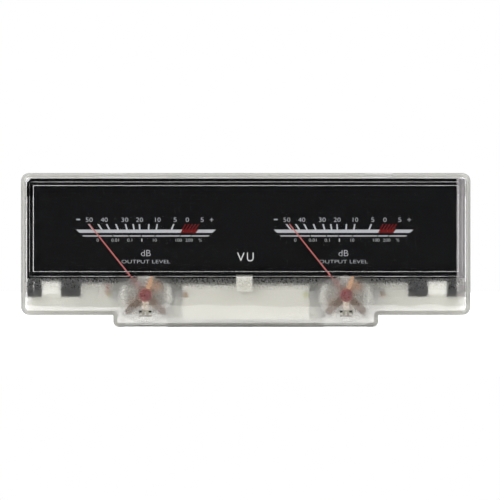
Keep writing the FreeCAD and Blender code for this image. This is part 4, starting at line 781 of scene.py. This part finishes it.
def strip(low, high, start, end, widen_start=0.0, widen_end=0.0):
    """Corners (x, height) in mm of a patch between two angles in degrees; widen moves an end sideways."""
    slopes = np.tan(np.radians([start, end]))
    x = np.array([low, high])[:, None] * slopes[None, :] + np.array([widen_start, widen_end])
    return np.array([(x[0, 0], low), (x[0, 1], low), (x[1, 1], high), (x[1, 0], high)])


def tick(angle, width):
    """Corners of a tick of even width that stands on the broad bar."""
    half = width / 2 / math.cos(math.radians(angle))
    return strip(BAR_HIGH, TICK_HIGH, angle, angle, -half, half)


print("ticks:", len(TICKS), "gaps:", len(GAPS))

# %% Bars and ticks
def print_strips(name, side, strips, finish):
    """Ink piece from four-cornered strips, placed on the dial above the side's pivot."""
    x, height = np.concatenate(strips).T
    points = grid_of(PRINT_MIDDLE[side] + PRINT_SCALE * x, DIAL_FRONT - INK, PIVOT_Z / MM + height)
    faces = np.arange(len(x)).reshape(-1, 4)
    new_piece(f"{side}_{name}", points, faces, finish, depth=INK)


gap_angles = [SCALE_START, *GAPS, SCALE_END]
half_gap = GAP_WIDTH / 2
thin_strips = [
    strip(THIN_LOW, THIN_HIGH, start, end, half_gap * (start > SCALE_START), -half_gap * (end < SCALE_END))
    for start, end in zip(gap_angles[:-1], gap_angles[1:])
]
white_strips = [strip(BAR_LOW, BAR_HIGH, SCALE_START, RED_START), strip(BAR_LOW, BAR_HIGH, RED_END, SCALE_END),
                *thin_strips, *[tick(angle, TICK_WIDTH) for angle in TICKS]]
red_strips = [strip(BAR_LOW, BAR_HIGH, RED_START, RED_END), *[tick(angle, RED_TICK_WIDTH) for angle in RED_TICKS]]
for side in SIDES:
    print_strips("scale_white", side, white_strips, "scale_ink")
    print_strips("scale_red", side, red_strips, "red_ink")
print("strips on each dial:", len(white_strips) + len(red_strips))

# %% [markdown]
# ## Numbers and signs
#
# Drawing figures by hand takes long, and a text object gives their outlines at
# once. Its mesh is scaled to the height and width wanted and laid flat on the
# dial, with all the figures of a dial in one piece of ink. A small negative
# offset thins the strokes as a fine screen does.

# %% Lettering helper
STROKE_OFFSET = -0.012


def letter_mesh(text):
    """Points (x, up) and faces of a text in the built-in face."""
    curve = bpy.data.curves.new("letters", "FONT")
    curve.body = text
    curve.resolution_u = 4
    curve.offset = STROKE_OFFSET
    holder = bpy.data.objects.new("letters", curve)
    bpy.context.collection.objects.link(holder)
    bpy.context.view_layer.update()
    mesh = bpy.data.meshes.new_from_object(holder.evaluated_get(bpy.context.evaluated_depsgraph_get()))
    points = np.array([point.co[:2] for point in mesh.vertices])
    faces = [list(face.vertices) for face in mesh.polygons]
    bpy.data.objects.remove(holder)
    bpy.data.curves.remove(curve)
    bpy.data.meshes.remove(mesh)
    return points, faces


def set_letters(rows, lift, facing=1):
    """One mesh at y = lift from rows of (text, middle x, middle z, height, width), all in mm; facing -1 turns it
    to the back."""
    all_points, all_faces, count = [], [], 0
    for text, x, z, height, width in rows:
        flat, faces = letter_mesh(text)
        low, high = flat.min(axis=0), flat.max(axis=0)
        across, up = ((flat - (low + high) / 2) / (high - low) * (width, height)).T
        all_points.append(grid_of(facing * across + x, lift, up + z))
        all_faces += [[count + corner for corner in face] for face in faces]
        count += len(flat)
    return np.concatenate(all_points), all_faces


print("points in a figure 8:", len(letter_mesh("8")[0]))

# %% Figures on the dials
UPPER_Z, UPPER_HEIGHT, UPPER_DIGIT = 22.58, 1.28, 0.95
LOWER_Z, LOWER_HEIGHT, LOWER_DIGIT = 16.46, 0.92, 0.66
UPPER_ROW = [("50", -16.6), ("40", -12.1), ("30", -5.94), ("20", -1.5), ("10", 3.99), ("5", 9.18), ("0", 12.84),
             ("5", 17.29)]
LOWER_ROW = [("0", -14.04), ("0.01", -8.82), ("0.1", -4.47), ("1", -0.81), ("10", 3.09), ("100", 10.26),
             ("200", 13.35), ("%", 16.69)]
WORDS = [("dB", 0.4, 12.58, 1.80, 2.88), ("OUTPUT LEVEL", 0.4, 10.02, 1.02, 14.6)]
SIGNS = [("-", -19.9, 22.65, 0.36, 1.15), ("+", 20.1, 22.56, 1.15, 1.15)]
UNIT_MARK = [("V", -1.47, 20.87, 2.6, 2.20), ("U", 1.36, 20.87, 2.6, 1.95)]
SHARES = {"1": 0.50, ".": 0.45, "%": 1.45}
LETTER_GAP = 0.16


def row_width(text, digit):
    """Width of a number: one digit for each figure or its share of one, with small gaps between."""
    return digit * (sum(SHARES.get(letter, 1.0) for letter in text) + LETTER_GAP * (len(text) - 1))


figures = [(text, x, UPPER_Z, UPPER_HEIGHT, row_width(text, UPPER_DIGIT)) for text, x in UPPER_ROW]
figures += [(text, x, LOWER_Z, LOWER_HEIGHT, row_width(text, LOWER_DIGIT)) for text, x in LOWER_ROW]
figures += WORDS + SIGNS
for side in SIDES:
    rows = [(text, PRINT_MIDDLE[side] + x, PIVOT_Z / MM + z, height, width) for text, x, z, height, width in figures]
    points, faces = set_letters(rows, DIAL_FRONT - INK)
    new_piece(f"{side}_dial_figures", points, faces, "scale_ink", depth=INK)

points, faces = set_letters(UNIT_MARK, DIAL_FRONT - INK)
new_piece("unit_mark", points, faces, "white_ink", depth=INK)
print("figures on each dial:", len(figures))

# %% [markdown]
# ## A strip of painted shade
#
# The dial's right end leaves a gap to the wall of the shell, where there is
# only shade. A thin grey strip on the dial's face paints that shade. A flat
# strip would look like metal, so sines give it a wave at its edge and in its
# face. Its ribs, 1.2 mm apart, are a cosine of x in the finish, which also
# paints the colour lighter and darker along them: painted reflections of the clear wall.

# %% Finish: painted shade strip
RIB_AND_LIGHT_LINE_PITCH, RIB_AND_LIGHT_LINE_START = 1.19 * MM, 64.26 * MM

shader, where = new_finish("tape", Specular_IOR_Level=0.3)
steps = calculate("DIVIDE", calculate("SUBTRACT", parts_of(where)["X"], RIB_AND_LIGHT_LINE_START), RIB_AND_LIGHT_LINE_PITCH)
ribs_and_light_lines = calculate("COSINE", calculate("MULTIPLY", steps, 2 * math.pi))
grain = grain_of(where, 3.0, 0.14, 0.10)
# The cosine makes the grey lighter and darker along the ribs: painted reflections on a strip of painted shade.
shade = calculate("MULTIPLY", rescale(ribs_and_light_lines, -1.0, 1.0, 1.15, 0.70), grain["Tone"])
link(tinted((0.30, 0.285, 0.29, 1), shade), shader, "Base Color")
link(grainy(grain, 0.43, 0.57), shader, "Roughness")
add_bump(shader, ribs_and_light_lines, -0.01)
show_finishes()

# %% Strip of painted shade
SHADE_STRIP_LEFT, SHADE_STRIP_RIGHT = 63.2, 65.74
SHADE_STRIP_LOW, SHADE_STRIP_TOP = 8.9, 44.3
SHADE_STRIP_THICKNESS = 0.03

# The grey strip of painted shade, from the dial's right end to the wall of the shell.
run = np.linspace(SHADE_STRIP_LOW, SHADE_STRIP_TOP, 61)[:, None]
share = np.linspace(0, 1, 5)[None, :]
shade_strip_x = SHADE_STRIP_LEFT + 0.05 * np.sin(run / 1.9) * (1 - share) + share * (SHADE_STRIP_RIGHT - SHADE_STRIP_LEFT)
shade_strip_y = DIAL_FRONT - SHADE_STRIP_THICKNESS - 0.02 * np.sin(run / 3.1 + 2 * share) ** 2
points = grid_of(shade_strip_x, shade_strip_y, run)
faces = quads_of(*shade_strip_x.shape)
new_piece("painted_shade_strip", points, faces, "tape", depth=SHADE_STRIP_THICKNESS, smooth=True)
print("faces of the tape:", len(faces))

# %% [markdown]
# ## The frosted band
#
# The texture covers the inside of the flange below the window, but not the two
# openings for the zero levers. The cover is one solid with one finish, so the
# band is a thin skin on that face. Its lower edge follows the outline of the
# tab: a point's height is a share of the way from there to the level upper
# edge. The grid has lines on the sides of the openings, and the faces inside
# them are left out.

# %% Frosted band
FLANGE_BACK, SKIN, CLEARANCE = -8.6, 0.05, 0.004
BAND_TOP, BAND_SIDE, BAND_INSET = 14.5, 65.3, 0.45
TAB_HALF, TAB_DROP, TAB_SLOPE = 39.5, 3.6, 0.6
SLOT_WIDE, SLOT_TALL, SLOT_Z = 1.9, 1.0, 4.05


def band_low(x):
    """Lower edge of the band: raised outside the tab, with a short slope between."""
    inside = np.clip((TAB_HALF - BAND_INSET + TAB_SLOPE - np.abs(x)) / TAB_SLOPE, 0, 1)
    return BAND_INSET + TAB_DROP * (1 - inside)


middle_x = PIVOT_X / MM
tab_edge = TAB_HALF - BAND_INSET
breaks = np.array([middle_x - SLOT_WIDE, middle_x + SLOT_WIDE, tab_edge, tab_edge + TAB_SLOPE])
across = np.unique(np.concatenate([np.linspace(-BAND_SIDE, BAND_SIDE, 161), breaks, -breaks]))
slot_rows = np.array([BAND_INSET, SLOT_Z - SLOT_TALL, SLOT_Z + SLOT_TALL]) - BAND_INSET
shares = np.concatenate([slot_rows / (BAND_TOP - BAND_INSET), np.linspace(0.35, 1.0, 8)])[:, None]
band_z = band_low(across) + shares * (BAND_TOP - band_low(across))
points = grid_of(across, FLANGE_BACK + SKIN + CLEARANCE, band_z)
faces = quads_of(*band_z.shape)
middle = points.reshape(-1, 3)[faces].mean(axis=1) / MM
in_slot = (np.abs(np.abs(middle[:, 0]) - middle_x) < SLOT_WIDE) & (np.abs(middle[:, 2] - SLOT_Z) < SLOT_TALL)
new_piece("frosted_band", points, faces[~in_slot], "frosting", depth=SKIN)
print("faces of the band:", int((~in_slot).sum()), "left out for the openings:", int(in_slot.sum()))

# %% [markdown]
# ## Painted shadow behind the openings
#
# Each opening for a zero lever shows a little of the works, with shadow along
# its upper edge on both sides of the lever and along its lower edge. Two black
# patches in the gap between lever and bridge paint the shadow above, and a grey
# strip paints it along the lower edge. Straight edges would look cut by a machine, so a slow sine along each patch
# makes them uneven.

# %% Painted shadow in the openings
SHADOW_Y = -7.54
# Colours of the painted shadow: black along the upper edge, grey along the lower edge.
SHADOW_TONES = {"black_paper_and_painted_shadow": (0.012, 0.011, 0.010, 1), "painted_shadow_grey": (0.16, 0.15, 0.13, 1)}
SHADOW_PARTS = [("black_paper_and_painted_shadow", -1.85, -1.05, 4.25, 4.80), ("black_paper_and_painted_shadow", 0.75, 1.80, 4.25, 4.80),
                ("painted_shadow_grey", -1.80, 1.80, 3.10, 3.35)]

for name, tone in SHADOW_TONES.items():
    make_paint(name, tone, 0.7, 0.2, 0.004)
along, up = np.meshgrid(np.linspace(0, 1, 13), np.linspace(0, 1, 3))
for side, way in SIDES.items():
    for number, (finish, start, end, low, high) in enumerate(SHADOW_PARTS):
        edge_wave = 0.04 * np.sin(9 * along + 4 * number) * (up - 0.5)
        points = grid_of(way * middle_x + start + along * (end - start), SHADOW_Y, low + up * (high - low) + edge_wave)
        faces = quads_of(*along.shape)[:, ::-1]
        new_piece(f"{side}_painted_shadow_{number}", points, faces, finish, depth=0.02)
print("painted_shadow_patches for each opening:", len(SHADOW_PARTS))

# %% [markdown]
# ## Shades in the dial's arches
#
# A sheet of black paper between the dial and each yoke stops light in the arch
# above the coil. The arch could be filled, but the coil needs room to swing.
# So the lower edge is an arc that it clears: the height of a point is that of
# a circle about the pivot, or a fixed height where the circle falls below it.

# %% Arch shades
SHADE_HALF, SHADE_TOP, SHADE_LOW, SHADE_ARC, SHADE_Y = 7.6, 15.6, 12.9, 5.9, -4.32

out = np.linspace(-SHADE_HALF, SHADE_HALF, 77)
arc = PIVOT_Z / MM + np.sqrt(np.clip(SHADE_ARC ** 2 - out ** 2, 0, None))
edge_z = np.maximum(SHADE_LOW, arc)
shade_z = edge_z + np.linspace(0, 1, 4)[:, None] * (SHADE_TOP - edge_z)
for side, way in SIDES.items():
    points = grid_of(out + way * middle_x, SHADE_Y, shade_z)
    faces = quads_of(*shade_z.shape)[:, ::-1]
    new_piece(f"{side}_arch_shade", points, faces, "black_paper_and_painted_shadow", depth=0.05)
print("columns of a shade:", len(out))

# %% [markdown]
# ## Turned forms
#
# Solder, lacquer and the marks of a mould are round. Ready-made cones and
# spheres can't follow their hollow flanks, so each is a profile of (radius, y)
# that turns about an axis from front to back. The profile runs towards the
# back on an outer face, so that the faces look outward. A slow wobble with the
# angle keeps solder from looking turned on a lathe.

# %% Turned forms
CORNERS = 28


def turn_forms(name, profile, centres, finish, body="case", wobble=0.0, tip=None):
    """Piece of equal round forms, lengths in mm, one at each centre (x, z); tip is the profile row to close.
    A point lies at radius times (cos a, sin a) from its centre, the radius swelling with sin 2a and sin 5a."""
    radius, depth = np.array(profile).T[:, :, None]
    angle = np.linspace(0, 2 * math.pi, CORNERS, endpoint=False)[None, :]
    wide = radius * (1 + wobble * np.sin(2 * angle + 0.7) + 0.5 * wobble * np.sin(5 * angle + 3 * depth))
    x, z = np.array(centres).T[:, :, None, None]
    points = grid_of(x + wide * np.cos(angle), depth, z + wide * np.sin(angle))
    size = wide.size
    starts = size * np.arange(len(centres))[:, None, None]
    faces = (quads_of(*wide.shape, ring=True) + starts).reshape(-1, 4).tolist()
    if tip is not None:
        row = np.arange(CORNERS) + (tip % len(profile)) * CORNERS
        faces += ((row if tip == 0 else row[::-1]) + starts[:, 0]).tolist()
    new_piece(name, points, faces, finish, body, smooth=True)


print("corners of a turned form:", CORNERS)

# %% [markdown]
# **Solder.** A pin through a wall wears a drop of solder that bulges, and a
# pin through a board a hollow fillet: its radius grows with the cube of the
# way down. The end of each hairspring sits in a bead on the zero lever, which
# rides with the lever.

# %% Solder
METER_PINS = [(-35, 24), (-25, 24), (25, 24), (35, 24)]
LAMP_PINS = [(-2.54, 4.6), (2.54, 4.6)]
BEAD_X, BEAD_Z = 1.13, 12.55

drop = [(0.12, 1.02), (0.40, 1.08), (0.64, 1.25), (0.76, 1.50), (0.80, 1.80), (0.76, 2.15), (0.68, 2.45), (0.59, 2.70)]
fillet = [(0.15, 0.22), (0.42, 0.26), (0.58, 0.34)]
fillet += [(0.62 + 0.62 * t ** 3, 0.40 + 0.61 * t) for t in np.linspace(0, 1, 9)]
bead = [(0.05, -6.66), (0.20, -6.62), (0.30, -6.50), (0.33, -6.35), (0.30, -6.20), (0.20, -6.10), (0.06, -6.06)]
turn_forms("meter_pin_solder", drop, METER_PINS, "solder", wobble=0.05, tip=0)
turn_forms("lamp_pin_solder", fillet, LAMP_PINS, "solder", wobble=0.04, tip=0)
for side, way in SIDES.items():
    turn_forms(f"{side}_spring_solder", bead, [(way * middle_x + BEAD_X, BEAD_Z)], "solder",
               body=f"{side}_zero", wobble=0.06, tip=0)
print("solder joints:", len(METER_PINS) + len(LAMP_PINS) + len(SIDES))

# %% [markdown]
# **Lacquer drops.** Whoever adjusts a meter marks it with two drops of
# lacquer, green on its left and brown on its right. The outer one seals a
# mount screw, and is tall because it runs down to the yoke's ear. The inner
# one is flat, on the leg of the light guide. Paint in a finish would do from
# the front, but lacquer stands proud, so both are domes.

# %% Lacquer drops
TALL = [(0.15, -1.38), (0.46, -1.35), (0.73, -1.27), (0.86, -1.05), (0.88, -0.45), (0.90, 0.16)]
FLAT = [(0.15, -4.34), (0.46, -4.32), (0.73, -4.27), (0.86, -4.20), (0.90, -4.12)]
ON_SCREW = (TALL, 11.15, "nickel_iron")
ON_GUIDE = (FLAT, 11.95, "guide_plastic")

for side, way in SIDES.items():
    for colour, turn in {"green": -1, "brown": 1}.items():
        profile, reach, under = ON_SCREW if turn == way else ON_GUIDE
        centre = (way * middle_x + turn * reach, PIVOT_Z / MM)
        turn_forms(f"{side}_{colour}_dot", profile, [centre], f"{colour}_lacquer", wobble=0.05, tip=0)
print("lacquer drops:", 2 * len(SIDES))

# %% [markdown]
# **Marks of the mould.** The pins that push the shell out of its mould leave
# low rings on its back, and the gate where the resin came in leaves a torn
# stub. Signs beside the meters' pins give their polarity. A bump could show
# all three, but they have real height, so light catches them from any side.

# %% Marks of the mould
SHELL_BACK = 5.0
EJECTORS = [(-54, 36), (54, 36), (-54, 11), (54, 11), (-12, 37), (12, 37)]
POLARITY = [("+", -5, 2.0), ("-", 5, 0.5)]

ridge = [(2.12, 4.96), (2.07, 5.05), (1.98, 5.08), (1.89, 5.05), (1.84, 4.96)]
stub = [(1.15, 4.96), (1.10, 5.06), (0.98, 5.10), (0.90, 5.28), (0.82, 5.40), (0.55, 5.46), (0.22, 5.42)]
turn_forms("ejector_marks", ridge, EJECTORS, "milky_plastic", wobble=0.004)
turn_forms("gate_mark", stub, [(0, 27)], "milky_plastic", wobble=0.07, tip=-1)

signs = [(sign, way * middle_x + x, 28.2, height, 2.0) for way in SIDES.values() for sign, x, height in POLARITY]
points, faces = set_letters(signs, SHELL_BACK + 0.2, facing=-1)
new_piece("polarity_signs", points, faces, "milky_plastic", depth=0.24)
print("marks on the back:", len(EJECTORS) + 1 + len(signs))

# %% [markdown]
# ## Tracks on the lamp board
#
# The tracks are 0.035 mm of copper under the white mask, so they show as low
# ridges. A bevelled curve would be round, and a track is flat. Each is a
# ribbon along a path of straight runs: its corners are moved sideways by half
# its width along the mean of the normals of the two runs that meet there.

# %% Tracks
TRACK_WIDTH, TRACK_FRONT, TRACK_DEPTH = 0.5, 0.965, 0.04
HALF_TRACKS = [[(2.54, 4.6), (4.0, 5.25), (5.8, 5.25)], [(8.6, 5.25), (10.6, 6.6), (10.6, 9.85), (10.2, 9.85)],
               [(7.8, 9.85), (4.2, 9.85)], [(1.8, 9.85), (0, 9.85)]]


def ribbon(path):
    """Grid of a ribbon along a path of (x, z) points in mm."""
    runs = np.diff(path, axis=0)
    runs /= np.linalg.norm(runs, axis=1)[:, None]
    normals = np.column_stack([-runs[:, 1], runs[:, 0]])
    meet = np.vstack([normals[:1], normals[:-1] + normals[1:], normals[-1:]])
    meet /= (meet * np.vstack([normals, normals[-1:]])).sum(axis=1)[:, None]
    x, z = np.moveaxis(path[None] + np.array([-0.5, 0.5])[:, None, None] * TRACK_WIDTH * meet[None], -1, 0)
    return grid_of(x, TRACK_FRONT, z)


paths = [np.array(path) * (way, 1.0) for way in SIDES.values() for path in HALF_TRACKS]
for number, path in enumerate(paths):
    grid = ribbon(path)
    faces = quads_of(*grid.shape[:2])[:, ::-1]
    new_piece(f"track_{number}", grid, faces, "board", depth=TRACK_DEPTH)
print("tracks:", len(paths))
